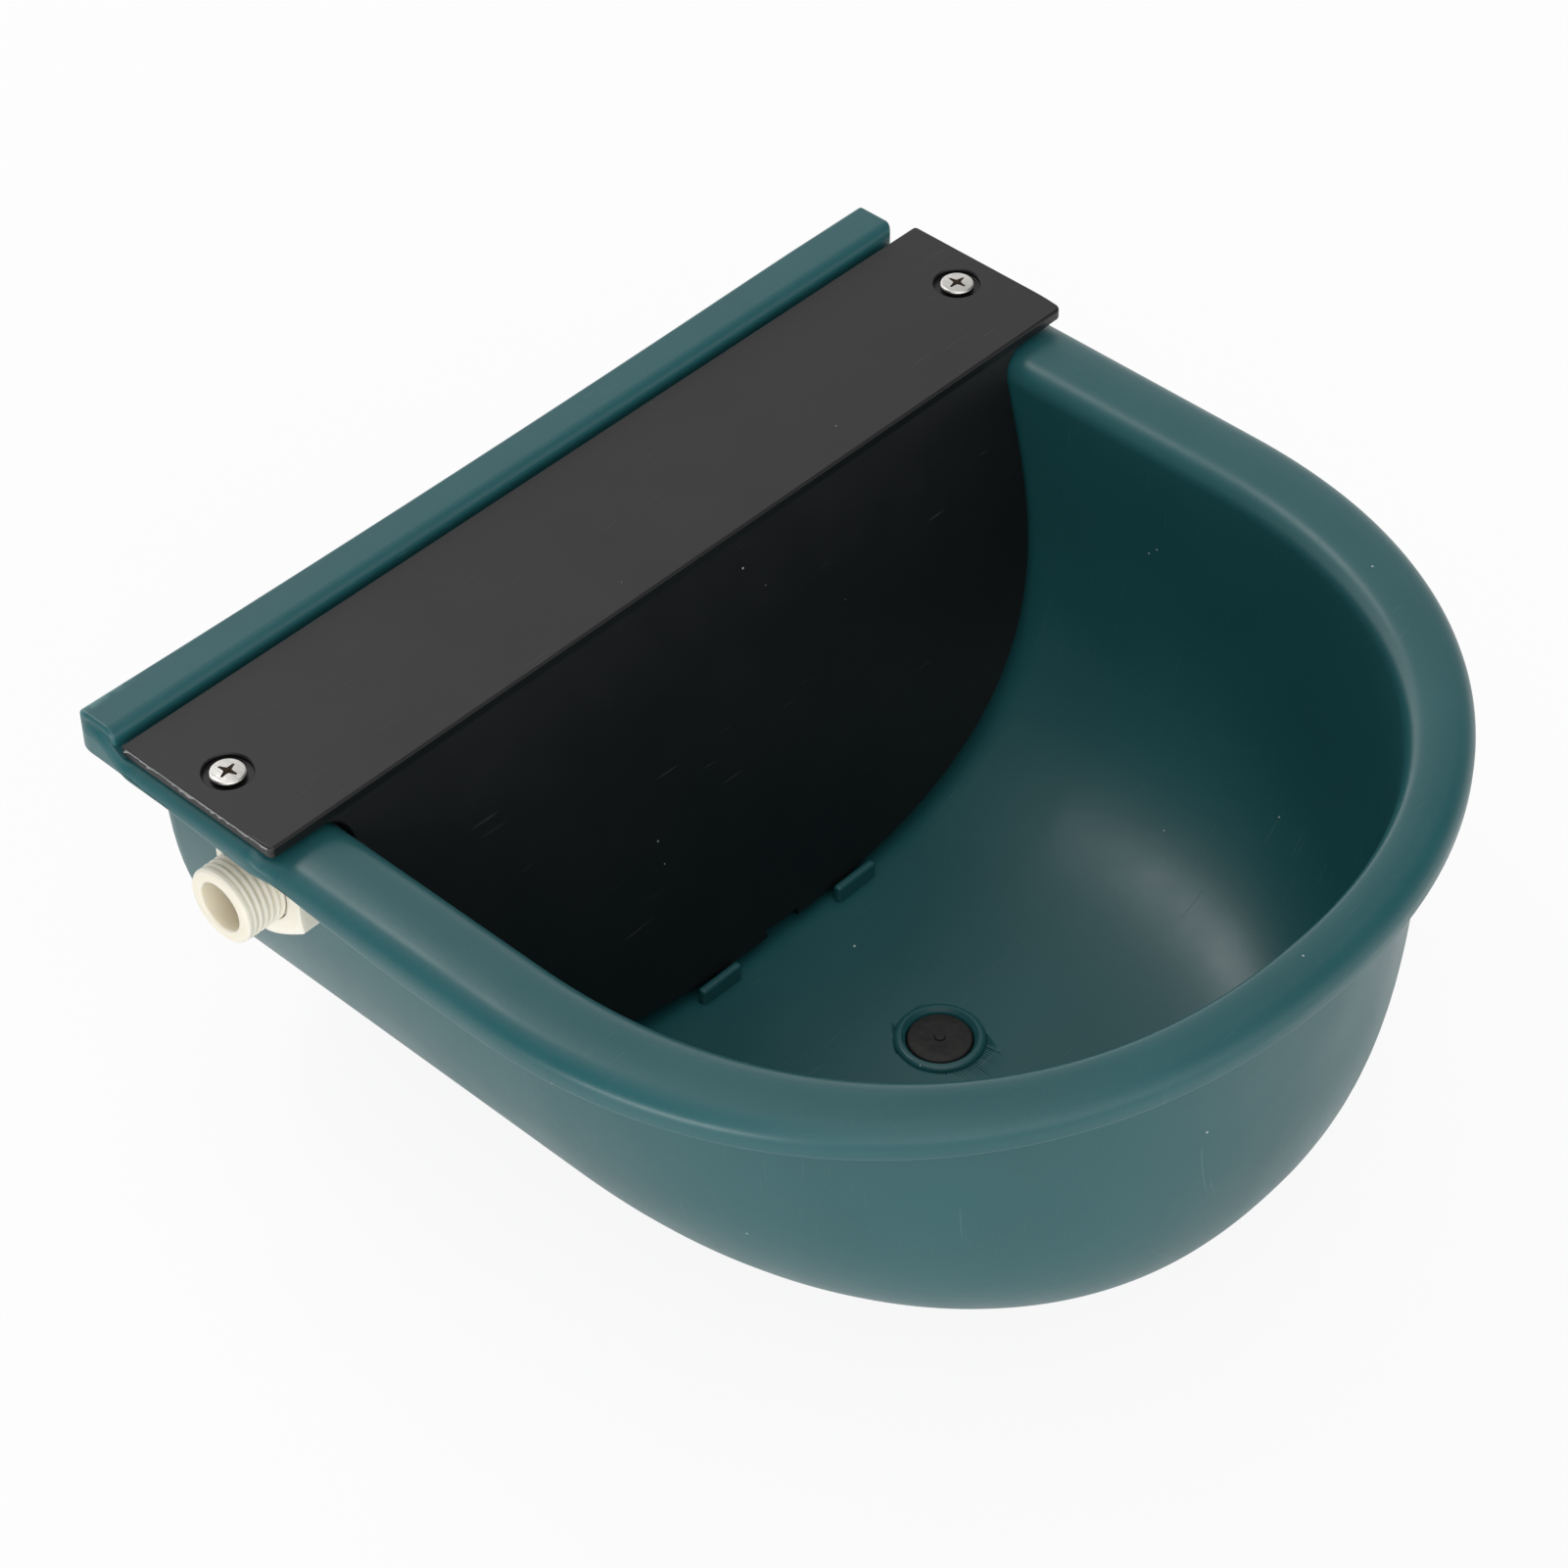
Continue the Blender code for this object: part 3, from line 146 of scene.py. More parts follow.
# Back strip, ledge, pads, tabs and drain
STRIP_DEEP = 12.8 * MM
STRIP_IN_LEFT = 1.6 * MM
STRIP_IN_RIGHT = 1.1 * MM
STRIP_R = 3.2 * MM
STRIP_END_UP = STRIP_UP - 0.15 * MM
STRIP_END_RUNS = (-19.0 * MM, -7.0 * MM)
STRIP_TOP_RUNS = (-14.9 * MM, -8.0 * MM)
STRIP_END_BAND = (141.5 * MM, 143.5 * MM)
STRIP_TOP_BAND = (136.0 * MM, 141.0 * MM)
STRIP_WALL = 3.5 * MM
STRIP_SOFT_R = 1.1 * MM
STRIP_DOWN = 0.8 * MM
STRIP_GAP = 0.03 * MM
SLAB_UP = 3.0 * MM
SLAB_GAP = 0.05 * MM
BOW = 1.2 * MM
BOW_MIDDLE = -20.0 * MM
BOW_HALF = 122.0 * MM
BOW_STEPS = 16
LEDGE_DEEP = 21.0 * MM
LEDGE_HALF = 127.5 * MM
WALL_HOLE_X = 75.0 * MM
WALL_HOLE_R = 4.0 * MM
WALL_PAD_R = 9.0 * MM
WALL_PAD = 2.0 * MM
INLET_Y = (BODY_LOW.y + BODY_HIGH.y) / 2
INLET_Z = (NUT_LOW.z + NUT_HIGH.z) / 2
PAD_R = 15.8 * MM
PAD_OUT = -OUTSIDE_HALF - 0.5 * MM
PAD_IN = -INSIDE_HALF + 1.3 * MM
THREAD_R = 10.48 * MM
FIT_GAP = 0.3 * MM
DRAIN_Y = (PLUG_LOW.y + PLUG_HIGH.y) / 2
DRAIN_R = 8.9 * MM
RING_R = 12.6 * MM
RING_UP = 1.5 * MM
RING_TOP = RIM_Z - (INSIDE_DEPTH - RING_UP)
TAB_X = 26.0 * MM
TAB_LONG = 14.6 * MM
TAB_THICK = 2.5 * MM
TAB_HIGH = 5.4 * MM
TAB_R = 1.0 * MM
SCREW_X = COVER_HIGH.x - 11.3 * MM
SCREW_Y = COVER_HIGH.y - 25.3 * MM
SCREW_HOLE_R = 2.3 * MM
BOSS_R = 4.5 * MM
BOSS_DEEP = 7.6 * MM
BOSS_WEB = 2.4 * MM

# Cover
COVER_FRONT = -68.3 * MM
COVER_THICK = 3.0 * MM
COVER_EDGE_R = 0.5 * MM
COVER_FOLD_R = 0.8 * MM
COVER_CORNER_R = 2.4 * MM
BAFFLE_SLOPE = math.radians(16.0)
BAFFLE_THICK = 3.0 * MM
BAFFLE_SET_BACK = 0.35 * MM
BAFFLE_EDGE_R = 0.5 * MM
BAFFLE_DEPTH = 104.9 * MM
BAFFLE_GAP = 1.0 * MM
BAFFLE_FOOT_Y = COVER_FRONT - (BAFFLE_DEPTH + LEDGE_UP) * math.tan(BAFFLE_SLOPE)
BAFFLE_WING_IN = 4.6 * MM
BAFFLE_SIDE_POWER = 2.5
BAFFLE_DEPTH_POWER = 3.4
BAFFLE_STEPS = 72
NOTCH_WIDE = 12.0 * MM
NOTCH_HIGH = 2.5 * MM
GUSSET_X = 100.0 * MM
GUSSET = 11.0 * MM
BURR_SEED = 7
BURR_STEP = 0.9 * MM
BURR_OUT = 0.85 * MM
BURR_THICK = 0.3 * MM
BURR_DOWN = 0.5 * MM
RECESS_R = 6.3 * MM
RECESS_DEEP = 1.5 * MM
RECESS_CHAMFER = 0.35 * MM

# Screws
HEAD_R = 4.6 * MM
HEAD_UP = 0.4 * MM
SCREW_TOP = COVER_HIGH.z + HEAD_UP
HEAD_RIM = 1.05 * MM
SHANK_R = 2.0 * MM
CROSS_REACH = 2.75 * MM
CROSS_WING = 0.72 * MM
CROSS_TIP = 0.34 * MM
CROSS_DEEP = 1.6 * MM
CROSS_TURNS = {"cover_screw_left": 14.0, "cover_screw_right": 2.0}

# Inlet nipple, nut and collar
BORE_R = 7.4 * MM
MOUTH_R = 6.9 * MM
MOUTH_DEEP = 7.0 * MM
PITCH = 1.81 * MM
TURN_ROWS = 12
THREAD_DEEP = 0.5 * MM
THREAD_PLAIN = 2.1 * MM
NIPPLE_OVERLAP = 2.0 * MM
NIPPLE_JOIN_X = -125.0 * MM
NUT_FLATS = NUT_HIGH.y - NUT_LOW.y
NUT_CORNER_R = 0.9 * MM
NUT_CONE_R = 0.5 * MM
NUT_CONE_FALL = 0.6
COLLAR_R = (COLLAR_HIGH.y - COLLAR_LOW.y) / 2
COLLAR_EDGE_R = 0.45 * MM

# Camera and floor
CAMERA_AT = Vector((-603.0, -670.3, 775.9)) * MM
CAMERA_TARGET = Vector((-8.27, -106.87, 3.4)) * MM
CAMERA_ROLL = math.radians(-0.45)
CAMERA_LENS = 102.22
FLOOR_HALF = 6.0
FLOOR_GLOW = 0.9
MIRRORED_GLOW = 0.5

# The white room's strength in a direction: a base, shares of the direction's parts and of their products,
# a brighter ring at eye level, and soft lobes of (direction, power, strength)
ROOM_BASE = 0.39
ROOM_PARTS = {"x": 0.05, "y": 0.09, "z": -0.25}
ROOM_PRODUCTS = {"xx": -0.31, "yy": 0.95, "xy": 0.62, "xz": 0.60, "yz": 0.54}
ROOM_RING = 0.29
ROOM_RING_POWER = 6.0
ROOM_LOBES = (
    ((-0.528, -0.5, 0.686), 4.0, 1.24),
    ((0, 0, 1), 8.0, 0.87),
    ((0.675, -0.342, 0.653), 8.0, -0.22),
    ((0.53, 0.57, 0.63), 10.0, -0.47),
)
ROOM_LEAST = 0.1
ROOM_MOST = 1.8

# Lamps as (name, place, target, sides, watts)
LAMPS = (
    ("window", (0.04, 0.74, 1.16), (0.07, -0.18, -0.05), (0.36, 0.36), 2.1),
    ("low_left", (-0.80, -0.24, -0.01), (-0.14, -0.06, -0.01), (0.45, 0.1), 1.3),
)

# Plain colours of the plastics, as linear values
TEAL = (0.0155, 0.096, 0.106)
BLACK = (0.0065, 0.0060, 0.0066)
CREAM = (0.93, 0.88, 0.76)

# Where the strip's left end is paler along its back top edge
PALE_EDGE_RUNS = (-120.0 * MM, -142.0 * MM)


def level(depth):
    """Height of a level given as a depth below the rim's top."""
    return RIM_Z - depth


def smooth(value, span):
    """0 before the span, 1 after it, and an S-curve between."""
    t = min(1.0, max(0.0, (value - span[0]) / (span[1] - span[0])))
    return t * t * (3 - 2 * t)


def about(middle, width):
    """The two ends of a width that lies evenly about a middle."""
    return middle - width / 2, middle + width / 2


def share(depth, full, power):
    """How much of its full width a rounded section still has at this depth."""
    return max(0.0, 1 - (depth / full) ** power) ** (1 / power)


def linked(name, data):
    """A new object in the scene."""
    made = bpy.data.objects.new(name, data)
    bpy.context.scene.collection.objects.link(made)
    return made


def object_of(name, bm):
    """Closes a bmesh into a linked object with its faces pointing out."""
    bmesh.ops.recalc_face_normals(bm, faces=bm.faces)
    mesh = bpy.data.meshes.new(name)
    bm.to_mesh(mesh)
    bm.free()
    return linked(name, mesh)


def bevel(bm, edges, radius, segments=5):
    bmesh.ops.bevel(bm, geom=edges, offset=radius, segments=segments, profile=0.5, affect="EDGES")


def around(steps):
    """The angles of a full turn in even steps."""
    return [2 * math.pi * i / steps for i in range(steps)]


def join(bm, one, two):
    """Faces between two rings of points, one of which can be a single point."""
    for i in range(max(len(one), len(two))):
        upper, lower = ([ring[i % len(ring)], ring[(i + 1) % len(ring)]] for ring in (one, two))
        bm.faces.new(list(dict.fromkeys(upper + lower[::-1])))


def loft(bm, rings):
    """Faces between each ring of points and the next, and one over each end."""
    bm.faces.new(rings[0])
    bm.faces.new(rings[-1])
    for one, two in zip(rings, rings[1:]):
        join(bm, one, two)


def settle(made):
    """Applies an object's modifiers and its place to its mesh."""
    bpy.context.view_layer.update()
    seen = made.evaluated_get(bpy.context.evaluated_depsgraph_get())
    mesh = bpy.data.meshes.new_from_object(seen)
    made.modifiers.clear()
    mesh.transform(made.matrix_world)
    made.data = mesh
    made.matrix_world = Matrix.Identity(4)
    return made


def boolean(target, others, operation):
    """Joins or cuts with several shapes in one step, and removes them."""
    group = bpy.data.collections.new(f"{target.name}_{operation.lower()}")
    for other in others:
        settle(other)
        bpy.context.scene.collection.objects.unlink(other)
        group.objects.link(other)
    bpy.context.scene.collection.children.link(group)
    step = target.modifiers.new(operation, "BOOLEAN")
    step.operation = operation
    step.solver = "EXACT"
    step.use_hole_tolerant = True
    step.operand_type = "COLLECTION"
    step.collection = group
    settle(target)
    for other in list(group.objects):
        bpy.data.objects.remove(other)
    bpy.data.collections.remove(group)
    return target


def shade(made, angle=35):
    """Smooth shading that breaks at sharp edges and leaves large faces flat."""
    made.data.shade_smooth()
    made.data.set_sharp_from_angle(angle=math.radians(angle))
    even = made.modifiers.new("Even", "WEIGHTED_NORMAL")
    even.keep_sharp = True
    return settle(made)


def rounded(corners, steps=5):
    """A profile of (radius, height, corner radius) points with each such corner turned into an arc."""
    points = []
    for i, (x, y, r) in enumerate(corners):
        here = Vector((x, y))
        if r <= 0 or i in (0, len(corners) - 1):
            points.append((x, y))
            continue
        back = (Vector(corners[i - 1][:2]) - here).normalized()
        on = (Vector(corners[i + 1][:2]) - here).normalized()
        half = math.acos(max(-1.0, min(1.0, back.dot(on)))) / 2
        if half > math.pi / 2 - 0.02:
            points.append((x, y))
            continue
        away = r / math.tan(half)
        centre = here + (back + on).normalized() * (r / math.sin(half))
        start = here + back * away - centre
        end = here + on * away - centre
        turn = start.angle_signed(end)
        for k in range(steps + 1):
            spoke = start.copy()
            spoke.rotate(Matrix.Rotation(-turn * k / steps, 2))
            points.append(tuple(centre + spoke))
    return points


def lathe(name, profile, at=(0, 0, 0), along="Z", steps=LATHE_STEPS):
    """Turns a profile of (radius, height) points that starts and ends on the axis, or closes into a ring."""
    bm = bmesh.new()
    rows = []
    for radius, height in profile:
        if radius < 1e-7:
            rows.append([bm.verts.new((0, 0, height))])
            continue
        places = [(radius * math.cos(a), radius * math.sin(a), height) for a in around(steps)]
        rows.append([bm.verts.new(place) for place in places])
    if profile[0][0] > 0:
        rows.append(rows[0])
    for upper, lower in zip(rows, rows[1:]):
        join(bm, upper, lower)
    made = object_of(name, bm)
    turns = {"Z": (0, 0, 0), "X": (0, math.pi / 2, 0), "Y": (-math.pi / 2, 0, 0)}
    made.location = at
    made.rotation_euler = turns[along]
    return made


def rod(name, radius, low, high, at=(0, 0, 0), along="Z", edge=0.0):
    profile = [(0, high, 0), (radius, high, edge), (radius, low, edge), (0, low, 0)]
    return lathe(name, rounded(profile), at, along)


def soft_box(name, x, y, z, radius=0.0, picked=None, segments=5):
    """A box between the two values of each pair, with the edges that picked accepts rounded."""
    bm = bmesh.new()
    bmesh.ops.create_cube(bm, size=1)
    for vert in bm.verts:
        pairs = zip((x, y, z), vert.co)
        vert.co = Vector([pair[0] + (side + 0.5) * (pair[1] - pair[0]) for pair, side in pairs])
    if radius:
        edges = [e for e in bm.edges if picked is None or picked(e.verts[0].co, e.verts[1].co)]
        bevel(bm, edges, radius, segments)
    return object_of(name, bm)


def soften(made, radius, segments=3, angle=40):
    """Rounds every edge sharper than the angle."""
    step = made.modifiers.new("Soften", "BEVEL")
    step.width = radius
    step.segments = segments
    step.limit_method = "ANGLE"
    step.angle_limit = math.radians(angle)
    return settle(made)


# The bowl as one sweep: its section, carried along the left side, round the front and back along the right


def stations():
    """Places along the sweep: (side, y) on a straight side, or (None, turn) on the front."""
    back = [-BACK_CORNER * (1 - math.cos(math.pi / 2 * i / BACK_STEPS)) for i in range(BACK_STEPS + 1)]
    middle = [near - step for near, far, gap in SIDE_RUNS for step in range(0, near - far + 1, gap)]
    ways = back + [y * MM for y in middle]
    left = [(-1, y) for y in ways]
    front = [(None, math.pi * (1 - i / ARC_STEPS)) for i in range(ARC_STEPS + 1)]
    return left + front + [(1, y) for y in reversed(ways)]


def wall_depths(full, power=SIDE_POWER):
    """Depths down a wall, from its foot to its top, closer together where it bends."""
    turns = [LAST_TURN * i / DEPTH_STEPS for i in range(DEPTH_STEPS, 0, -1)]
    return [full * math.sin(turn) ** (2 / power) for turn in turns]


def crown(half):
    """How far the rim falls away on both sides of its middle line."""
    middle = (INSIDE_HALF + RIM_HALF) / 2
    off = abs(half - middle) / (RIM_FLAT / 2)
    return RIM_CROWN * (off**2 if off < 1 else 2 * off - 1)


def section(side, y):
    """Points of (half width, reach, roundness, height, share of the back corner) across the bowl here,
    from the middle of the inside floor over the rim to the middle of the underside."""
    lift, left, right, lip, end_rise, top_rise = 0.0, 0.0, 0.0, RIM_LIP, 0.0, 0.0
    if side is not None:
        lift = LEDGE_UP * smooth(y, FLANGE_LIFTS)
        left = smooth(y, LEFT_TURNS) if side < 0 else 0.0
        right = smooth(y, RIGHT_TURNS) if side > 0 else 0.0
        lip += (FLANGE_SKIRT - RIM_LIP) * smooth(y, SKIRT_RUNS)
        if side < 0:
            end_rise = (STRIP_END_UP - LEDGE_UP) * smooth(y, STRIP_END_RUNS)
            top_rise = (STRIP_END_UP - LEDGE_UP) * smooth(y, STRIP_TOP_RUNS)
    wide = RIM_HALF + (FLANGE_LEFT - RIM_HALF) * left + (FLANGE_RIGHT - RIM_HALF) * right
    outer_r = RIM_OUTER_R + (FLANGE_OUTER_R - RIM_OUTER_R) * max(left, right)

    def rise(half):
        """How far the left end of the strip lifts the flange at this half width."""
        out = smooth(half, STRIP_END_BAND)
        return end_rise * out + top_rise * (1 - out) * smooth(half, STRIP_TOP_BAND)

    def inside(depth):
        """Half width and reach of the inside at this depth."""
        half = INSIDE_HALF * share(depth, INSIDE_DEPTH, SIDE_POWER)
        return half, INSIDE_REACH * share(depth, INSIDE_DEPTH, FRONT_POWER)

    def outside(depth):
        half = OUTSIDE_HALF * share(depth, OUTSIDE_DEPTH, OUTSIDE_SIDE_POWER)
        return half, OUTSIDE_REACH * share(depth, OUTSIDE_DEPTH, OUTSIDE_FRONT_POWER)

    bottom = INSIDE_DEPTH * INSIDE_FLAT
    half, reach = inside(bottom)
    points = [(half * k, reach * k, BODY_ROUND, level(bottom), 0) for k in FLOOR_STEPS]
    points.append((half, reach, BODY_ROUND, level(bottom), 1))
    for depth in wall_depths(INSIDE_DEPTH):
        if RIM_INNER_R * 1.15 < depth < bottom * 0.9999:
            points.append((*inside(depth), BODY_ROUND, level(depth), 1))
    for i in range(ROUND_STEPS + 1):
        turn = math.pi / 2 * (1 - i / ROUND_STEPS)
        flare = 1 - math.sin(turn)
        half = INSIDE_HALF + RIM_INNER_R * flare
        up = lift * flare - crown(half) * flare
        reach = INSIDE_REACH + FRONT_FLARE * flare
        points.append((half, reach, BODY_ROUND, level(RIM_INNER_R * (1 - math.cos(turn))) + up, 1 - flare))

    inner_half, inner_reach = INSIDE_HALF + RIM_INNER_R, INSIDE_REACH + FRONT_FLARE
    outer_half, outer_reach = wide - outer_r, RIM_REACH - outer_r
    for i in range(1, ROUND_STEPS):
        k = i / ROUND_STEPS
        half = inner_half + (outer_half - inner_half) * k
        reach = inner_reach + (outer_reach - inner_reach) * k
        drop = crown(INSIDE_HALF + RIM_INNER_R + RIM_FLAT * k)
        height = level(drop) + lift + rise(half)
        points.append((half, reach, BODY_ROUND + (RIM_ROUND - BODY_ROUND) * k, height, FLANGE_CORNER * k))
    for i in range(ROUND_STEPS + 1):
        turn = math.pi / 2 * i / ROUND_STEPS
        inset, drop = outer_r * (1 - math.sin(turn)), outer_r * (1 - math.cos(turn))
        fall = crown(RIM_HALF - inset) * (1 - i / ROUND_STEPS)
        height = level(drop + fall) + lift * (1 - i / ROUND_STEPS) + rise(wide - inset)
        points.append((wide - inset, RIM_REACH - inset, RIM_ROUND, height, FLANGE_CORNER))

    edge = [(0, lip - LIP_EDGE_R), (0.3, lip - 0.3 * LIP_EDGE_R), (1.0, lip)]
    edge += [(LIP_THICK / LIP_EDGE_R - 0.6, lip), (LIP_THICK / LIP_EDGE_R, lip - 0.6 * LIP_EDGE_R)]
    for inset, depth in edge:
        inset *= LIP_EDGE_R
        points.append((wide - inset, RIM_REACH - inset, RIM_ROUND, level(depth), FLANGE_CORNER))
    under = RIM_THICK - lift
    inside_half, inside_reach = wide - LIP_THICK, RIM_REACH - LIP_THICK
    under_r = max(0.05 * MM, min(UNDER_R, lip - 0.7 * LIP_EDGE_R - under - 0.1 * MM))
    turns = [math.pi / 2 * i / UNDER_STEPS for i in range(UNDER_STEPS + 1)]
    for turn in turns:
        inset, height = under_r * (1 - math.cos(turn)), level(under + under_r * (1 - math.sin(turn)))
        points.append((inside_half - inset, inside_reach - inset, RIM_ROUND, height, FLANGE_CORNER))
    for i, turn in enumerate(turns):
        out, drop = UNDER_R * (1 - math.sin(turn)), UNDER_R * (1 - math.cos(turn))
        corner = i / UNDER_STEPS
        points.append((OUTSIDE_HALF + out, OUTSIDE_REACH + out, OUTSIDE_ROUND, level(under + drop), corner))
    for depth in reversed(wall_depths(OUTSIDE_DEPTH, OUTSIDE_SIDE_POWER)):
        if depth > RIM_THICK + UNDER_R * 1.3:
            points.append((*outside(depth), OUTSIDE_ROUND, level(depth), 1))
    half, reach = outside(OUTSIDE_DEPTH * OUTSIDE_FLAT)
    lowest = level(OUTSIDE_DEPTH)
    points += [(half * k, reach * k, OUTSIDE_ROUND, lowest, 0) for k in (1, *reversed(FLOOR_STEPS))]
    return points


def back_inset(y):
    """How far the upright corner at the wall draws the side in at this place."""
    near = max(0.0, y + BACK_CORNER)
    return BACK_CORNER - math.sqrt(BACK_CORNER**2 - near**2)


def in_plan(side, way, half, reach, roundness, corner):
    """The place in X and Y of a section's point at one station."""
    if side is None:
        across = math.copysign(abs(math.cos(way)) ** (2 / roundness), math.cos(way))
        return half * across, ARC_Y - reach * max(0.0, math.sin(way)) ** (2 / roundness)
    return side * (half - back_inset(way) * corner), way


def bowl_shell():
    bm = bmesh.new()
    columns = []
    for side, way in stations():
        column = []
        for half, reach, roundness, height, corner in section(side, way):
            x, y = in_plan(side, way, half, reach, roundness, corner)
            column.append(bm.verts.new((x, y, height)))
        columns.append(column)
    for one, two in zip(columns, columns[1:]):
        for a, b, c, d in zip(one, one[1:], two[1:], two):
            bm.faces.new((a, b, c, d))
    bm.faces.new([column[0] for column in columns])
    bm.faces.new([column[-1] for column in columns])
    bm.faces.new(columns[0] + list(reversed(columns[-1])))
    return object_of("bowl_shell", bm)


def back_slab():
    """The back wall: a loft from the inside to the wall, whose edge runs in the side wall's middle."""
    bm = bmesh.new()
    widest, deepest = OUTSIDE_HALF - WALL / 2, OUTSIDE_DEPTH - FLOOR / 2
    depths = wall_depths(deepest, OUTSIDE_SIDE_POWER)
    rings = []
    for y in [-WALL, -0.6 * WALL, -0.35 * WALL, -0.15 * WALL, -SLAB_GAP]:
        inset = back_inset(y)
        right = [(widest - inset, level(-SLAB_UP))]
        for depth in reversed(depths):
            right.append((widest * share(depth, deepest, OUTSIDE_SIDE_POWER) - inset, level(depth)))
        outline = right + [(-x, z) for x, z in reversed(right)]
        rings.append([bm.verts.new((x, y, z)) for x, z in outline])
    loft(bm, rings)
    return object_of("back_slab", bm)


def strip():
    """The raised bar along the wall, rounded at its front and right end, its rear edge bowed a little."""
    right_end = FLANGE_RIGHT - STRIP_IN_RIGHT

    def front(a, b):
        """The long front edge on top, and the upright front edge at the right end."""
        upright = abs(a.z - b.z) > MM and a.x > right_end - MM
        return a.y < -MM and b.y < -MM and (upright or abs(a.x - b.x) > MM and a.z > level(0))

    across, height = (-FLANGE_LEFT + STRIP_IN_LEFT, right_end), (level(STRIP_DOWN), level(-STRIP_UP))
    made = soft_box("strip", across, (-STRIP_DEEP, -STRIP_GAP), height, STRIP_R, front, 8)
    soften(made, STRIP_SOFT_R, 4, 50)
    bm = bmesh.new()
    bm.from_mesh(made.data)
    for i in range(1, BOW_STEPS):
        at = Vector((-FLANGE_LEFT + 2 * FLANGE_LEFT * i / BOW_STEPS, 0, 0))
        everything = bm.verts[:] + bm.edges[:] + bm.faces[:]
        bmesh.ops.bisect_plane(bm, geom=everything, plane_co=at, plane_no=(1, 0, 0), dist=1e-6)
    for vert in bm.verts:
        along = 1 - min(1.0, abs(vert.co.x - BOW_MIDDLE) / BOW_HALF) ** 2
        up = smooth(vert.co.z, (level(0), level(-0.7 * STRIP_UP)))
        vert.co.y -= BOW * along * up * (1 + vert.co.y / STRIP_DEEP)
    bm.to_mesh(made.data)
    bm.free()
    return made


def bowl_fittings():
    half_floor = level(INSIDE_DEPTH + FLOOR / 2)
    ring = [(0, RING_TOP, 0), (RING_R - 0.7 * MM, RING_TOP, 1.5 * MM)]
    ring += [(RING_R, half_floor, 0), (0, half_floor, 0)]
    pieces = [
        back_slab(),
        strip(),
        soft_box(
            "ledge",
            (-LEDGE_HALF, LEDGE_HALF),
            (-LEDGE_DEEP, -STRIP_DEEP + STRIP_WALL / 2),
            (level(RIM_THICK - LEDGE_UP), level(-LEDGE_UP + 0.1 * MM)),
        ),
        lathe("drain_ring", rounded(ring), (0, DRAIN_Y, 0)),
        rod("inlet_pad", PAD_R, 0, PAD_IN - PAD_OUT, (PAD_OUT, INLET_Y, INLET_Z), "X", 0.4 * MM),
    ]
    for side in (-1, 1):
        pad_at = (side * WALL_HOLE_X, 0, 0)
        pieces.append(rod(f"wall_pad_{side}", WALL_PAD_R, -WALL - WALL_PAD, -WALL / 2, pad_at, "Y"))
        across, along = about(side * TAB_X, TAB_LONG), (BAFFLE_FOOT_Y - TAB_THICK, BAFFLE_FOOT_Y)
        height = (half_floor, level(INSIDE_DEPTH - TAB_HIGH))
        pieces.append(soft_box(f"tab_{side}", across, along, height, TAB_R))
        boss_at = (side * SCREW_X, SCREW_Y, 0)
        pieces.append(rod(f"boss_{side}", BOSS_R, level(BOSS_DEEP), level(0), boss_at))
        across = sorted((side * (OUTSIDE_HALF - WALL / 2), side * SCREW_X))
        height = (level(BOSS_DEEP - MM), level(0.5 * MM))
        pieces.append(soft_box(f"boss_web_{side}", across, about(SCREW_Y, BOSS_WEB), height))
    return pieces


def bowl_cuts():
    past = 20 * MM
    lead = 1.2 * MM
    drain = [
        (0, RING_TOP + past, 0),
        (DRAIN_R + lead + past, RING_TOP + past, 0),
        (DRAIN_R + lead, RING_TOP, 0),
        (DRAIN_R, RING_TOP - lead, 1.5 * MM),
        (DRAIN_R, RING_TOP - past, 0),
        (0, RING_TOP - past, 0),
    ]
    cuts = [
        soft_box(
            "strip_hollow",
            (-INSIDE_HALF, INSIDE_HALF),
            (-STRIP_DEEP + STRIP_WALL, -WALL + 0.1 * MM),
            (level(RIM_THICK + 5 * MM), level(-STRIP_UP + STRIP_WALL)),
        ),
        lathe("drain_hole", rounded(drain), (0, DRAIN_Y, 0)),
        rod("inlet_hole", THREAD_R + FIT_GAP, -past, past, (PAD_OUT, INLET_Y, INLET_Z), "X"),
    ]
    for side in (-1, 1):
        cuts.append(rod(f"wall_hole_{side}", WALL_HOLE_R, -past, past, (side * WALL_HOLE_X, 0, 0), "Y"))
        cuts.append(rod(f"screw_hole_{side}", SCREW_HOLE_R, -past, past, (side * SCREW_X, SCREW_Y, RIM_Z)))
    return cuts


def make_bowl():
    made = boolean(bowl_shell(), bowl_fittings(), "UNION")
    made = boolean(made, bowl_cuts(), "DIFFERENCE")
    made.name = "bowl_moulding"
    return shade(made, 38)


# The cover: a plate folded down into the sloping baffle


def baffle_outline():
    """Half outline as half width and depth below the rim: over the rim, down inside it, then the foot."""
    shoulder = RIM_INNER_R + BAFFLE_GAP
    side = INSIDE_HALF - BAFFLE_GAP
    wing = COVER_HIGH.x - BAFFLE_WING_IN
    points = [(wing, -LEDGE_UP - FIT_GAP - COVER_THICK / 3), (wing, -BAFFLE_GAP)]
    for i in range(2 * ROUND_STEPS + 1):
        turn = math.pi / 4 * i / ROUND_STEPS
        points.append((side + shoulder * (1 - math.sin(turn)), RIM_INNER_R - shoulder * math.cos(turn)))
    for i in range(1, BAFFLE_STEPS):
        turn = math.pi / 2 * i / BAFFLE_STEPS
        depth = BAFFLE_DEPTH * math.sin(turn) ** (2 / BAFFLE_DEPTH_POWER)
        narrowing = share(depth, BAFFLE_DEPTH, BAFFLE_DEPTH_POWER)
        if depth > RIM_INNER_R * 1.5:
            points.append((side * narrowing ** (BAFFLE_DEPTH_POWER / BAFFLE_SIDE_POWER), depth))
    return points


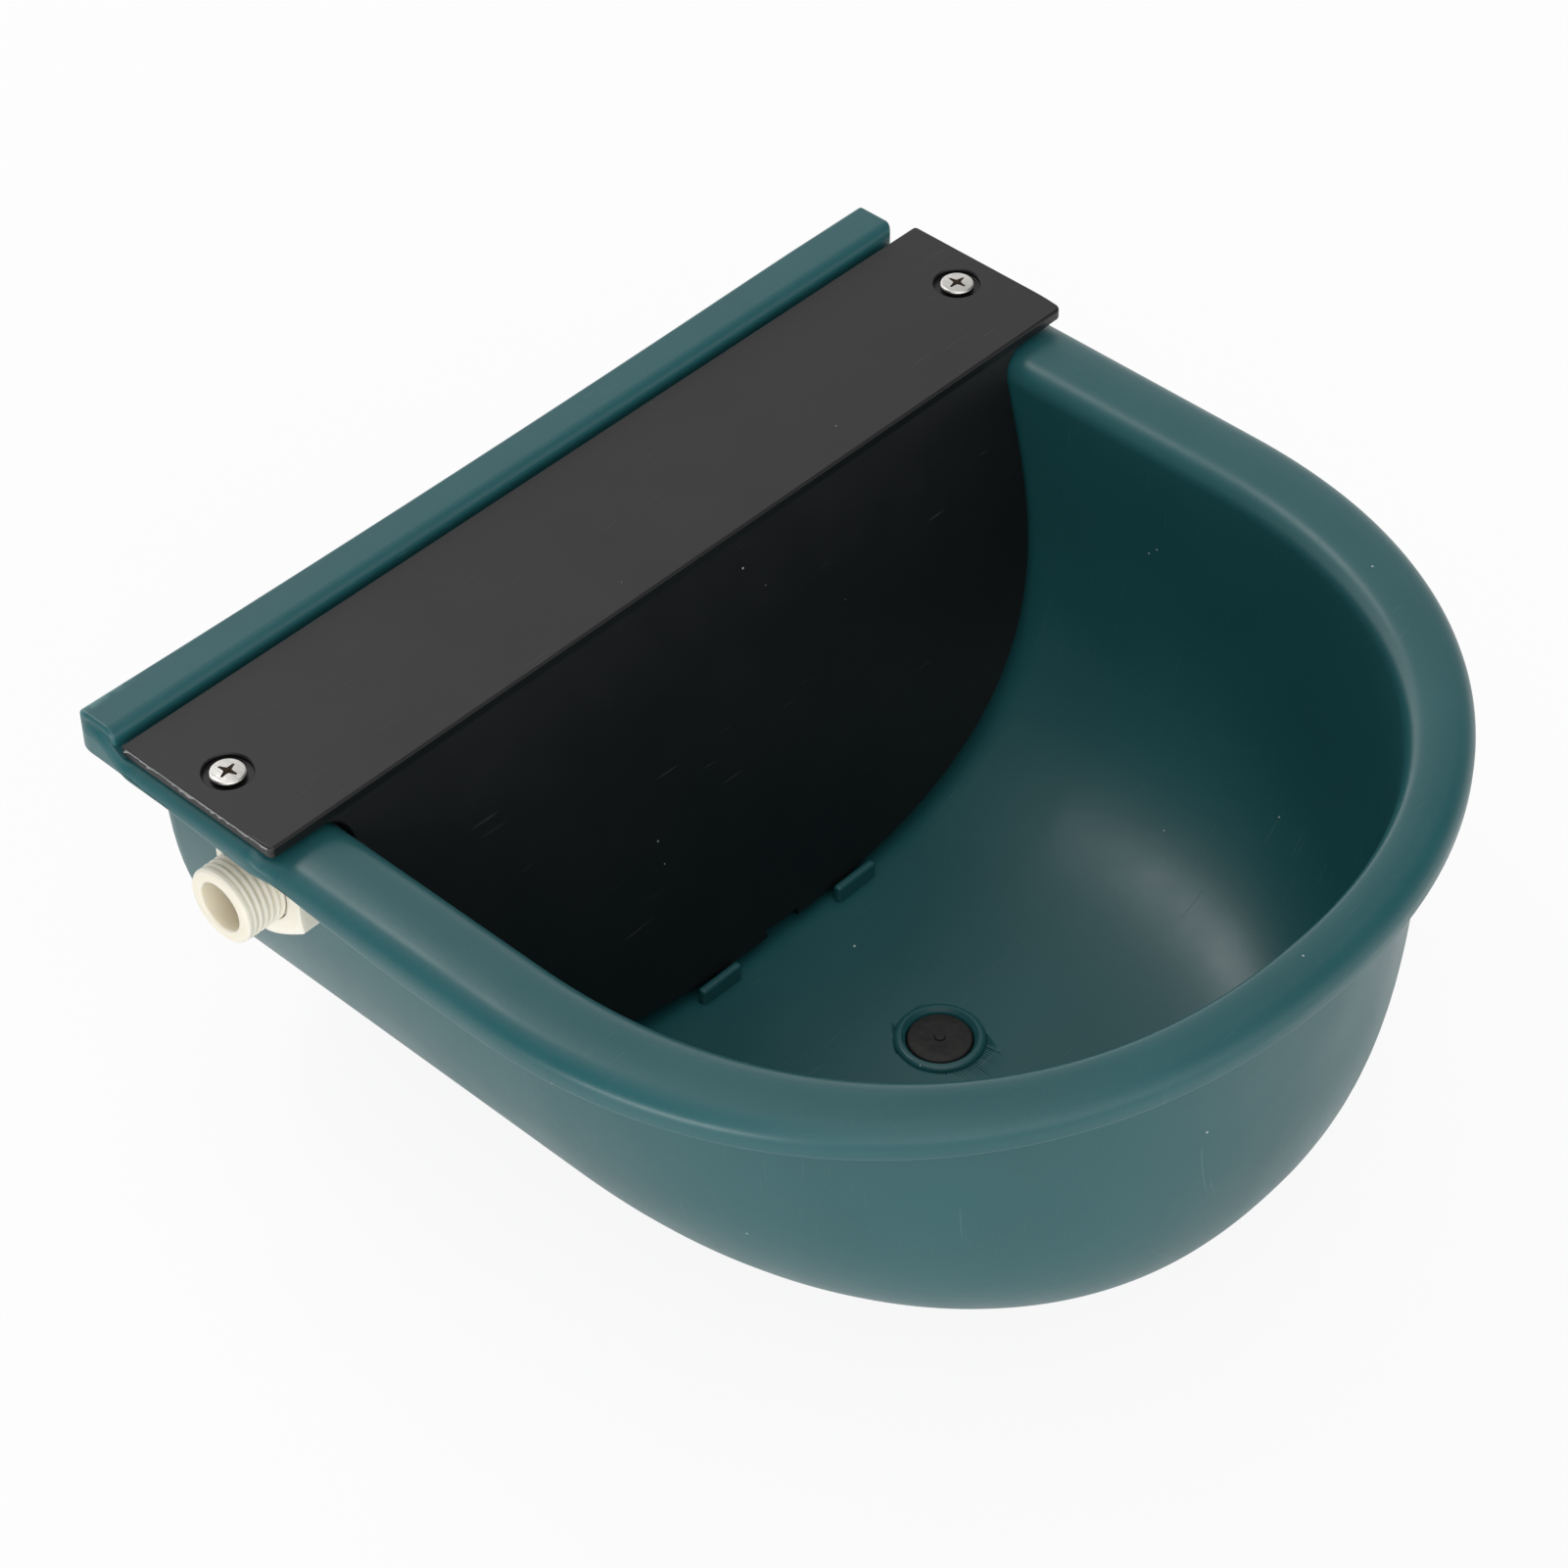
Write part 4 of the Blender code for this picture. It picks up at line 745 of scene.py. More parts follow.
def plate(name, outline, thick, edge_r=0.0):
    """A flat outline in X and Z, given thickness along Y about Y = 0, its two rims rounded."""
    bm = bmesh.new()
    face = bm.faces.new([bm.verts.new((x, -thick / 2, z)) for x, z in outline])
    grown = bmesh.ops.extrude_face_region(bm, geom=[face])
    moved = [item for item in grown["geom"] if isinstance(item, bmesh.types.BMVert)]
    bmesh.ops.translate(bm, vec=(0, thick, 0), verts=moved)
    if edge_r:
        rims = [e for e in bm.edges if abs(e.verts[0].co.y - e.verts[1].co.y) < thick / 2]
        bevel(bm, rims, edge_r, 3)
    return object_of(name, bm)


def burr():
    """The ragged flash that the mould left along the cover's left edge."""
    dice = random.Random(BURR_SEED)
    near, far = COVER_FRONT + 1.2 * MM, COVER_HIGH.y - 1.5 * MM
    steps = int((far - near) / BURR_STEP)
    outline = [(COVER_LOW.x + 2 * MM, far), (COVER_LOW.x + 2 * MM, near)]
    for i in range(steps + 1):
        out = BURR_OUT * (0.15 + dice.random() ** 2) * (0.35 if dice.random() < 0.3 else 1.0)
        outline.append((COVER_LOW.x - out, near + (far - near) * i / steps))
    made = plate("burr", outline, BURR_THICK)
    made.rotation_euler = (-math.pi / 2, 0, 0)
    made.location = (0, 0, COVER_HIGH.z - BURR_DOWN)
    return made


def make_cover():
    bottom = COVER_HIGH.z - COVER_THICK
    corners = [
        (COVER_LOW.x, COVER_HIGH.y, 0),
        (COVER_LOW.x, COVER_FRONT, 1.5 * MM),
        (COVER_HIGH.x, COVER_FRONT, COVER_CORNER_R),
        (COVER_HIGH.x, COVER_HIGH.y, 1.0 * MM),
        (COVER_LOW.x, COVER_HIGH.y, 0),
    ]
    made = plate("cover_plate", rounded(corners, 8)[:-1], COVER_THICK)
    made.rotation_euler = (-math.pi / 2, 0, 0)
    made.location = (0, 0, (bottom + COVER_HIGH.z) / 2)
    settle(made)
    bm = bmesh.new()
    bm.from_mesh(made.data)
    fold = COVER_FRONT + COVER_CORNER_R + 0.1 * MM
    edges = [e for e in bm.edges if all(v.co.y < fold and v.co.z > COVER_HIGH.z - 0.1 * MM for v in e.verts)]
    bevel(bm, edges, COVER_FOLD_R)
    bmesh.ops.recalc_face_normals(bm, faces=bm.faces)
    bm.to_mesh(made.data)
    bm.free()
    soften(made, COVER_EDGE_R, 3, 50)
    slope = 1 / math.cos(BAFFLE_SLOPE)
    right = [(width, -depth * slope) for width, depth in baffle_outline()]
    left = [(-width, height) for width, height in reversed(right)]
    baffle = plate("baffle", right + left, BAFFLE_THICK, BAFFLE_EDGE_R)
    baffle.rotation_euler = (-BAFFLE_SLOPE, 0, 0)
    set_in = BAFFLE_THICK / 2 * slope - LEDGE_UP * math.tan(BAFFLE_SLOPE)
    baffle.location = (0, COVER_FRONT + set_in + BAFFLE_SET_BACK, RIM_Z)
    joined = [baffle, burr()]
    for side in (-1, 1):
        gusset = plate(f"gusset_{side}", [(0, 0), (GUSSET, 0), (0, -GUSSET * 1.4)], BAFFLE_THICK)
        gusset.rotation_euler = (0, 0, math.pi / 2)
        gusset.location = (side * GUSSET_X, COVER_FRONT + BAFFLE_THICK / 2, bottom + COVER_THICK / 2)
        joined.append(gusset)
    boolean(made, joined, "UNION")
    across, along = about(0, NOTCH_WIDE), about(BAFFLE_FOOT_Y, 4 * BAFFLE_THICK)
    cuts = [soft_box("notch", across, along, (level(INSIDE_DEPTH), level(BAFFLE_DEPTH - NOTCH_HIGH)))]
    top = COVER_HIGH.z
    recess = [
        (0, top + 5 * MM, 0),
        (RECESS_R + RECESS_CHAMFER + 5 * MM, top + 5 * MM, 0),
        (RECESS_R + RECESS_CHAMFER, top, 0),
        (RECESS_R, top - RECESS_CHAMFER, 0.5 * MM),
        (RECESS_R, top - RECESS_DEEP, 0.25 * MM),
        (SHANK_R + 2 * FIT_GAP, top - RECESS_DEEP, 0),
        (SHANK_R + 2 * FIT_GAP, top - 10 * MM, 0),
        (0, top - 10 * MM, 0),
    ]
    for side in (-1, 1):
        cuts.append(lathe(f"recess_{side}", rounded(recess, 3), (side * SCREW_X, SCREW_Y, 0)))
    boolean(made, cuts, "DIFFERENCE")
    made.name = "cover_moulding"
    return shade(made, 38)


# Cross-recessed screws


def cross_cutter(name, top, turn):
    """A four-winged recess, wide at its middle, that narrows downwards."""
    bm = bmesh.new()
    rings = []
    for k, down in ((1.05, -0.3 * MM), (1.0, 0.05 * MM), (0.8, 0.5 * MM), (0.35, CROSS_DEEP)):
        height = top - down
        reach, wing, tip = CROSS_REACH * k, CROSS_WING * (0.5 + 0.5 * k), CROSS_TIP * k
        ring = []
        for i in range(4):
            spin = Matrix.Rotation(math.pi / 2 * i, 2)
            corners = ((wing, -wing), (reach * 0.62, -wing * 0.62), (reach * 0.95, -tip), (reach, 0))
            corners += ((reach * 0.95, tip), (reach * 0.62, wing * 0.62))
            ring += [spin @ Vector(corner) for corner in corners]
        rings.append([bm.verts.new((p.x, p.y, height)) for p in ring])
    loft(bm, rings)
    made = object_of(name, bm)
    made.rotation_euler = (0, 0, turn)
    return made


def make_screw(name, side):
    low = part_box(name)[0].z
    top = SCREW_TOP
    seat = COVER_HIGH.z - RECESS_DEEP + 0.02 * MM
    profile = [
        (0, top, 0),
        (HEAD_R - 0.35 * MM, top - 0.16 * MM, 0.5 * MM),
        (HEAD_R, top - 0.55 * MM, 0.35 * MM),
        (HEAD_R - 0.05 * MM, top - HEAD_RIM, 0.15 * MM),
        (SHANK_R + 0.3 * MM, seat, 0.2 * MM),
        (SHANK_R, seat - 0.5 * MM, 0.1 * MM),
        (SHANK_R, low + 2 * MM, 0.2 * MM),
        (SHANK_R * 0.25, low, 0),
        (0, low, 0),
    ]
    made = lathe(name + "_fine", rounded(profile, 4), (side * SCREW_X, SCREW_Y, 0))
    settle(made)
    cutter = cross_cutter(name + "_cross", top - 0.1 * MM, math.radians(CROSS_TURNS[name]))
    cutter.location = (side * SCREW_X, SCREW_Y, 0)
    boolean(made, [cutter], "DIFFERENCE")
    return shade(made, 30)


# Inlet: threaded nipple on the valve body, nut and collar


def copy_of(node, name):
    """The CAD node's mesh as a new object, its split corners merged so that it is one closed body."""
    bm = bmesh.new()
    bm.from_mesh(frame["nodes"][node].data)
    bmesh.ops.remove_doubles(bm, verts=bm.verts, dist=0.002 * MM)
    return object_of(name, bm)


def nipple():
    """A tube whose outside carries a real helical thread, plain at its mouth."""
    bm = bmesh.new()
    start, end = BODY_LOW.x, NIPPLE_JOIN_X + NIPPLE_OVERLAP
    rows = int((end - start) / PITCH * TURN_ROWS)
    angles = around(LATHE_STEPS)
    rings = []
    for i in range(rows + 1):
        x = start + (end - start) * i / rows
        plain = smooth(x, (start + THREAD_PLAIN * 0.6, start + THREAD_PLAIN * 1.5))
        lead = 0.8 * MM * max(0.0, 1 - (x - start) / (0.9 * MM)) ** 2
        ring = []
        for angle in angles:
            wave = 0.5 + 0.5 * math.cos(2 * math.pi * (x - start) / PITCH + angle)
            hollow = THREAD_DEEP * (1 - wave**0.8) * plain + 0.12 * MM * (1 - plain)
            radius = THREAD_R - hollow - lead
            ring.append(bm.verts.new((x, radius * math.cos(angle), radius * math.sin(angle))))
        rings.append(ring)
    bore = [(end, BORE_R + 0.8 * MM), (NIPPLE_JOIN_X - 0.3 * MM, BORE_R + 0.8 * MM)]
    bore += [(NIPPLE_JOIN_X - 0.31 * MM, BORE_R), (start + MOUTH_DEEP, BORE_R), (start + MOUTH_DEEP, MOUTH_R)]
    bore += [(start + 0.5 * MM, MOUTH_R), (start + 0.15 * MM, MOUTH_R + 0.15 * MM)]
    bore.append((start, MOUTH_R + 0.5 * MM))
    for x, radius in bore:
        rings.append([bm.verts.new((x, radius * math.cos(a), radius * math.sin(a))) for a in angles])
    for one, two in zip(rings, rings[1:] + rings[:1]):
        join(bm, one, two)
    made = object_of("nipple", bm)
    made.location = (0, INLET_Y, INLET_Z)
    return made


def make_valve_body():
    made = copy_of("valve_body", "valve_body_fine")
    end = rod("end_cut", 2 * THREAD_R, 0, 40 * MM, (NIPPLE_JOIN_X - 40 * MM, INLET_Y, INLET_Z), "X")
    boolean(made, [end], "DIFFERENCE")
    boolean(made, [nipple()], "UNION")
    return shade(made, 40)


def make_nut():
    """A six-sided nut with soft corners, its faces taken back on a cone at both ends."""
    thick = NUT_HIGH.x - NUT_LOW.x
    middle = ((NUT_LOW.x + NUT_HIGH.x) / 2, INLET_Y, INLET_Z)
    flat = NUT_FLATS / 2
    corner = NUT_FLATS / math.sqrt(3)
    turns = [math.pi / 3 * i for i in range(6)]
    made = plate("nut", [(corner * math.cos(turn), corner * math.sin(turn)) for turn in turns], thick)
    bm = bmesh.new()
    bm.from_mesh(made.data)
    sides = [e for e in bm.edges if abs(e.verts[0].co.y - e.verts[1].co.y) > thick / 2]
    bevel(bm, sides, NUT_CORNER_R)
    bm.to_mesh(made.data)
    bm.free()
    made.rotation_euler = (0, math.pi / 2, math.pi / 2)
    made.location = middle
    settle(made)
    fall = (corner - flat) * NUT_CONE_FALL
    cone = [
        (0, thick / 2, 0),
        (flat * 0.97, thick / 2, NUT_CONE_R),
        (corner * 1.03, thick / 2 - fall, 0),
        (corner * 1.03, fall - thick / 2, 0),
        (flat * 0.97, -thick / 2, NUT_CONE_R),
        (0, -thick / 2, 0),
    ]
    boolean(made, [lathe("cone", rounded(cone), middle, "X")], "INTERSECT")
    boolean(made, [rod("nut_bore", THREAD_R + FIT_GAP, -thick, thick, middle, "X")], "DIFFERENCE")
    made.name = "lock_nut_fine"
    return shade(made, 30)


def make_collar():
    inner = THREAD_R + FIT_GAP
    thick = COLLAR_HIGH.x - COLLAR_LOW.x
    corners = [(inner, 0), (COLLAR_R, 0), (COLLAR_R, thick), (inner, thick)]
    looped = [(*corners[-1], 0)] + [(x, y, COLLAR_EDGE_R) for x, y in corners] + [(*corners[0], 0)]
    profile = rounded(looped)[1:-1]
    made = lathe("collar_fine", profile, (COLLAR_LOW.x, INLET_Y, INLET_Z), "X")
    return shade(settle(made), 40)


def make_plug():
    top = level(INSIDE_DEPTH - RING_UP + 0.6 * MM)
    under = level(OUTSIDE_DEPTH) - FIT_GAP
    low = PLUG_LOW.z
    head_r = (PLUG_HIGH.x - PLUG_LOW.x) / 2
    head_low = under - 3 * MM
    plug_r = DRAIN_R - FIT_GAP
    profile = [
        (0, top - 0.1 * MM, 0),
        (plug_r * 0.7, top, 2 * MM),
        (plug_r, top - 0.3 * MM, 0.7 * MM),
        (plug_r, under, 0.3 * MM),
        (head_r, under, 0.5 * MM),
        (head_r, head_low, 1 * MM),
        (3.5 * MM, head_low, 0.8 * MM),
        (3.5 * MM, head_low - 3.2 * MM, 0.4 * MM),
        (5 * MM, head_low - 4.8 * MM, 0.8 * MM),
        (5 * MM, low, 1.6 * MM),
        (0, low, 0),
    ]
    made = lathe("plug_fine", rounded(profile), (0, DRAIN_Y, 0))
    settle(made)
    raised = [(0, 0.5 * MM, 0), (1.4 * MM, 0.45 * MM, 0.3 * MM), (1.7 * MM, -0.6 * MM, 0), (0, -0.6 * MM, 0)]
    nub = lathe("nub", rounded(raised), (0, DRAIN_Y, top), steps=32)
    nick = rod("nick", 1.2 * MM, -0.2 * MM, 2 * MM, (0.8 * MM, DRAIN_Y + 0.7 * MM, top))
    boolean(nub, [nick], "DIFFERENCE")
    boolean(made, [nub], "UNION")
    return shade(made, 40)


# Materials


class Nodes:
    """A node tree, with short ways to add and wire its nodes."""

    def __init__(self, tree):
        self.tree = tree

    def node(self, kind, **settings):
        made = self.tree.nodes.new(kind)
        for name, value in settings.items():
            setattr(made, name, value)
        return made

    def wire(self, socket, value):
        if isinstance(value, bpy.types.NodeSocket):
            self.tree.links.new(value, socket)
        else:
            socket.default_value = value

    def fed(self, kind, **inputs):
        """A new node whose inputs get these values or wires."""
        made = self.node(kind)
        for name, value in inputs.items():
            self.wire(made.inputs[name], value)
        return made

    def calc(self, operation, a, b=0.0):
        made = self.node("ShaderNodeMath", operation=operation)
        self.wire(made.inputs[0], a)
        self.wire(made.inputs[1], b)
        return made.outputs[0]

    def times(self, a, b):
        return self.calc("MULTIPLY", a, b)

    def parts(self, vector):
        """The X, Y and Z of a vector."""
        return tuple(self.fed("ShaderNodeSeparateXYZ", Vector=vector).outputs)


class Look(Nodes):
    """A material on a Principled shader, placed by the object's own coordinates."""

    def __init__(self, name, colour, roughness, metallic=0.0):
        self.material = bpy.data.materials.new(name)
        self.material.use_nodes = True
        super().__init__(self.material.node_tree)
        self.shader = self.tree.nodes["Principled BSDF"]
        self.shader.inputs["Base Color"].default_value = (*colour, 1)
        self.shader.inputs["Roughness"].default_value = roughness
        self.shader.inputs["Metallic"].default_value = metallic
        self.where = self.node("ShaderNodeTexCoord").outputs["Object"]

    def mapped(self, scale=(1, 1, 1), turn=(0, 0, 0), shift=(0, 0, 0)):
        made = self.fed("ShaderNodeMapping", Vector=self.where, Location=shift, Rotation=turn, Scale=scale)
        return made.outputs["Vector"]

    def noise(self, scale, detail, vector=None):
        vector = vector or self.where
        return self.fed("ShaderNodeTexNoise", Vector=vector, Scale=scale, Detail=detail).outputs["Fac"]

    def band(self, value, low, high, to_low=0.0, to_high=1.0):
        """Maps low..high to to_low..to_high, clamped."""
        ends = {"From Min": low, "From Max": high, "To Min": to_low, "To Max": to_high}
        return self.fed("ShaderNodeMapRange", Value=value, **ends).outputs["Result"]

    def spread(self, scale, detail, low=0.0, high=1.0):
        """Noise, spread out between two values."""
        return self.band(self.noise(scale, detail), 0.3, 0.7, low, high)

    def mix(self, factor, a, b):
        made = self.node("ShaderNodeMix", data_type="RGBA")
        self.wire(made.inputs["Factor"], factor)
        for socket, colour in zip([s for s in made.inputs if s.type == "RGBA"], (a, b)):
            self.wire(socket, (*colour, 1) if isinstance(colour, tuple) else colour)
        return [s for s in made.outputs if s.type == "RGBA"][0]

    def clouded(self, colour, scale, detail, least, most):
        """Soft clouds between two shares of a colour."""
        return self.mix(self.spread(scale, detail), scaled(colour, least), scaled(colour, most))

    def specks(self, scale, size, seed):
        """Small round flecks, one in some of the cells."""
        made = self.fed("ShaderNodeTexVoronoi", Vector=self.mapped(shift=(seed, seed, seed)), Scale=scale)
        shade_of = self.fed("ShaderNodeSeparateColor", Color=made.outputs["Color"])
        reach = self.band(shade_of.outputs["Red"], 0.55, 1.0, 0.0, size)
        return self.calc("LESS_THAN", made.outputs["Distance"], reach)

    def scratches(self, *kinds):
        """Two kinds of thin broken lines, each with its direction, fineness, rarity and seed."""
        return self.calc("MAXIMUM", *[self.scratch(*kind) for kind in kinds])

    def scratch(self, turn, fine, low, seed):
        drawn = (fine * 0.018, fine, fine * 0.018)
        lines = self.noise(1.0, 1.0, self.mapped(drawn, (0, 0, turn), (seed, 0, seed)))
        broken = self.noise(28.0, 2.0, self.mapped(shift=(seed, seed, 0)))
        return self.times(self.band(lines, low, low + 0.03), self.band(broken, 0.52, 0.62))

    def bump(self, height, distance, strength, normal=None):
        made = self.fed("ShaderNodeBump", Height=height, Distance=distance, Strength=strength)
        if normal:
            self.wire(made.inputs["Normal"], normal)
        return made.outputs["Normal"]

    def relief(self, scale, strength, grain, grain_strength, lines):
        """The skin of a moulding: soft waves, grain, and scratches cut into it."""
        normal = self.bump(self.noise(scale, 2.0), 0.00005, strength)
        normal = self.bump(grain, 0.00002, grain_strength, normal)
        return self.bump(lines, -0.00004, 0.5, normal)

    def finish(self, colour, roughness, normal):
        for name, value in (("Base Color", colour), ("Roughness", roughness), ("Normal", normal)):
            if value is not None:
                self.wire(self.shader.inputs[name], value)
        return self.material


def scaled(colour, factor):
    return tuple(channel * factor for channel in colour)


def teal_plastic():
    look = Look("teal_plastic", TEAL, 0.42)
    grain = look.noise(1400.0, 2.0)
    colour = look.clouded(TEAL, 16.0, 4.0, 0.93, 1.08)
    colour = look.mix(look.band(grain, 0.35, 0.75, 0.0, 0.25), colour, scaled(TEAL, 1.3))
    lines = look.scratches((0.6, 2600.0, 0.73, 3.0), (-0.9, 2200.0, 0.735, 7.0))
    colour = look.mix(look.times(lines, 0.35), colour, (0.10, 0.20, 0.21))
    colour = look.mix(look.specks(100.0, 0.042, 5.0), colour, (0.42, 0.50, 0.50))
    x, y, z = look.parts(look.where)
    # A paler patch along the back top edge of the strip's left end, broken up by noise
    edge = look.times(look.band(y, -3 * MM, 0.0), look.band(x, *PALE_EDGE_RUNS))
    edge = look.times(edge, look.band(z, level(-5 * MM), level(-STRIP_UP)))
    pale_patch = look.times(edge, look.band(look.noise(260.0, 4.0), 0.42, 0.62))
    colour = look.mix(look.times(pale_patch, 0.8), colour, (0.22, 0.42, 0.42))
    roughness = look.spread(45.0, 4.0, 0.29, 0.37)
    return look.finish(colour, roughness, look.relief(420.0, 0.35, grain, 0.5, lines))


def black_plastic():
    look = Look("black_plastic", BLACK, 0.40)
    grain = look.noise(1700.0, 2.0)
    colour = look.clouded(BLACK, 22.0, 4.0, 0.85, 1.2)
    lines = look.scratches((0.35, 2400.0, 0.735, 1.0), (-0.5, 2000.0, 0.74, 9.0))
    colour = look.mix(look.times(lines, 0.35), colour, (0.07, 0.07, 0.075))
    colour = look.mix(look.specks(125.0, 0.045, 2.0), colour, (0.35, 0.35, 0.36))
    roughness = look.spread(60.0, 4.0, 0.34, 0.40)
    return look.finish(colour, roughness, look.relief(380.0, 0.3, grain, 0.6, lines))


def cream_plastic():
    """Pale moulded plastic, with painted shade: darker and yellower in the hollows of the thread and inside
    the bore.
    """
    look = Look("cream_plastic", CREAM, 0.42)
    _, y, z = look.parts(look.mapped(shift=(0, -INLET_Y, -INLET_Z)))
    radius = look.calc("SQRT", look.calc("ADD", look.calc("POWER", y, 2.0), look.calc("POWER", z, 2.0)))
    # Painted shade: the thread's hollows and the bore are mixed up to halfway toward a darker yellow
    painted_hollow_shade = look.band(radius, THREAD_R - THREAD_DEEP, THREAD_R - 0.1 * MM, 1.0, 0.0)
    colour = look.clouded(CREAM, 90.0, 3.0, 0.95, 1.0)
    colour = look.mix(look.times(painted_hollow_shade, 0.5), colour, (0.80, 0.73, 0.58))
    roughness = look.spread(300.0, 3.0, 0.36, 0.48)
    skin = look.bump(look.noise(900.0, 2.0), 0.00003, 0.4)
    for name, value in (("Weight", 0.5), ("Radius", (1.0, 0.9, 0.75)), ("Scale", 0.005)):
        look.wire(look.shader.inputs[f"Subsurface {name}"], value)
    return look.finish(colour, roughness, skin)


def plain_plastic(name, colour, roughness):
    look = Look(name, colour, roughness)
    shaded = look.clouded(colour, 70.0, 4.0, 0.88, 1.08)
    rough = look.spread(240.0, 3.0, roughness - 0.06, roughness + 0.06)
    return look.finish(shaded, rough, look.bump(look.noise(1100.0, 2.0), 0.00003, 0.4))


def metal(name, colour, roughness, fine=2600.0):
    look = Look(name, colour, roughness, 1.0)
    shaded = look.clouded(colour, 160.0, 4.0, 0.9, 1.0)
    lines = look.noise(1.0, 2.0, look.mapped((fine, fine * 0.05, fine * 0.05), (0, 0, 0.4)))
    rough = look.band(lines, 0.3, 0.7, roughness - 0.07, roughness + 0.09)
    return look.finish(shaded, rough, look.bump(lines, 0.00001, 0.3))


def rubber():
    look = Look("black_rubber", (0.014, 0.0135, 0.013), 0.62)
    cloud = look.noise(260.0, 5.0)
    colour = look.mix(look.band(cloud, 0.35, 0.7), (0.010, 0.0095, 0.0095), (0.022, 0.020, 0.018))
    colour = look.mix(look.specks(600.0, 0.09, 4.0), colour, (0.10, 0.10, 0.09))
    roughness = look.spread(500.0, 3.0, 0.5, 0.72)
    return look.finish(colour, roughness, look.bump(look.noise(1500.0, 3.0), 0.00005, 0.5))


def floor_look():
    """White paper: it takes the shadow, and to the camera it is mostly plain white."""
    look = Look("floor_paper", (0.93, 0.93, 0.93), 0.8)
    fibre = look.noise(500.0, 4.0)
    colour = look.mix(look.band(fibre, 0.3, 0.7), (0.93, 0.93, 0.93), (0.95, 0.95, 0.95))
    look.finish(colour, None, look.bump(fibre, 0.0001, 0.1))
    path = look.node("ShaderNodeLightPath")
    glow = look.node("ShaderNodeEmission")
    blend = look.node("ShaderNodeMixShader")
    mirrored = look.calc("MAXIMUM", path.outputs["Is Glossy Ray"], path.outputs["Is Transmission Ray"])
    dimmed = look.times(mirrored, MIRRORED_GLOW)
    glowing = look.calc("MAXIMUM", path.outputs["Is Camera Ray"], dimmed)
    look.wire(blend.inputs["Fac"], look.times(glowing, FLOOR_GLOW))
    look.wire(blend.inputs[1], look.shader.outputs[0])
    look.wire(blend.inputs[2], glow.outputs[0])
    look.wire(look.tree.nodes["Material Output"].inputs["Surface"], blend.outputs[0])
    return look.material


def dress(made, look):
    made.data.materials.clear()
    made.data.materials.append(look)
    return made


def put(made, slot, *nodes):
    """A fine piece stands for its CAD nodes, with its slot's look and their body."""
    dress(made, LOOKS[slot])
    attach(made, made_body(nodes[0]))
    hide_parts(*nodes)
    return made


def mark(made, look, picked):
    """Gives a second look to the faces whose middle picked accepts."""
    made.data.materials.append(look)
    for face in made.data.polygons:
        if picked(face.center):
            face.material_index = 1


def in_cross(side):
    """Whether a place is inside the cross slot of the screw on this side."""
    low, high = SCREW_TOP - CROSS_DEEP - 0.2 * MM, SCREW_TOP - 0.2 * MM

    def picked(at):
        out = math.hypot(at.x - side * SCREW_X, at.y - SCREW_Y)
        return out < CROSS_REACH and low < at.z < high

    return picked


def made_body(node):
    bodies = frame["record"]["behaviour"]["bodies"]
    return next(body for body, members in bodies.items() if node in members)


LOOKS = {
    "bowl_plastic": teal_plastic(),
    "cover_plastic": black_plastic(),
    "valve_plastic": cream_plastic(),
    "screw_nickel": metal("screw_nickel", (0.78, 0.76, 0.72), 0.24),
    "black_rubber": rubber(),
    "stainless_steel": metal("stainless_steel", (0.62, 0.62, 0.60), 0.28),
    "float_plastic": plain_plastic("float_plastic", (0.030, 0.032, 0.034), 0.5),
    "strainer_plastic": plain_plastic("strainer_plastic", (0.70, 0.71, 0.70), 0.5),
}
RECESS_DARK = plain_plastic("screw_recess", (0.075, 0.050, 0.035), 0.55)
BURR_GREY = plain_plastic("cover_burr", (0.30, 0.30, 0.30), 0.5)

put(make_bowl(), "bowl_plastic", "bowl")
cover = put(make_cover(), "cover_plastic", "cover")
mark(cover, BURR_GREY, lambda at: at.x < COVER_LOW.x - 0.03 * MM)
for name, side in (("cover_screw_left", -1), ("cover_screw_right", 1)):
    screw = make_screw(name, side)
    put(screw, "screw_nickel", name)
    mark(screw, RECESS_DARK, in_cross(side))
put(make_valve_body(), "valve_plastic", "valve_body")
put(make_nut(), "valve_plastic", "lock_nut")
put(make_collar(), "valve_plastic", "collar_washer")
put(make_plug(), "black_rubber", "drain_plug")

# The pieces inside keep their CAD shapes and get the looks of their slots
for row in frame["record"]["subparts"]:
    node = frame["nodes"].get(row.get("node") or row.get("name"))
    if node and not node.hide_render:
        dress(node, LOOKS[row["material_slot"]])


def make_floor():
    bm = bmesh.new()
    bmesh.ops.create_grid(bm, x_segments=1, y_segments=1, size=FLOOR_HALF)
    made = object_of("floor", bm)
    made.location = (0, 0, CAD_BOX[0][2])
    dress(made, floor_look())
    return made


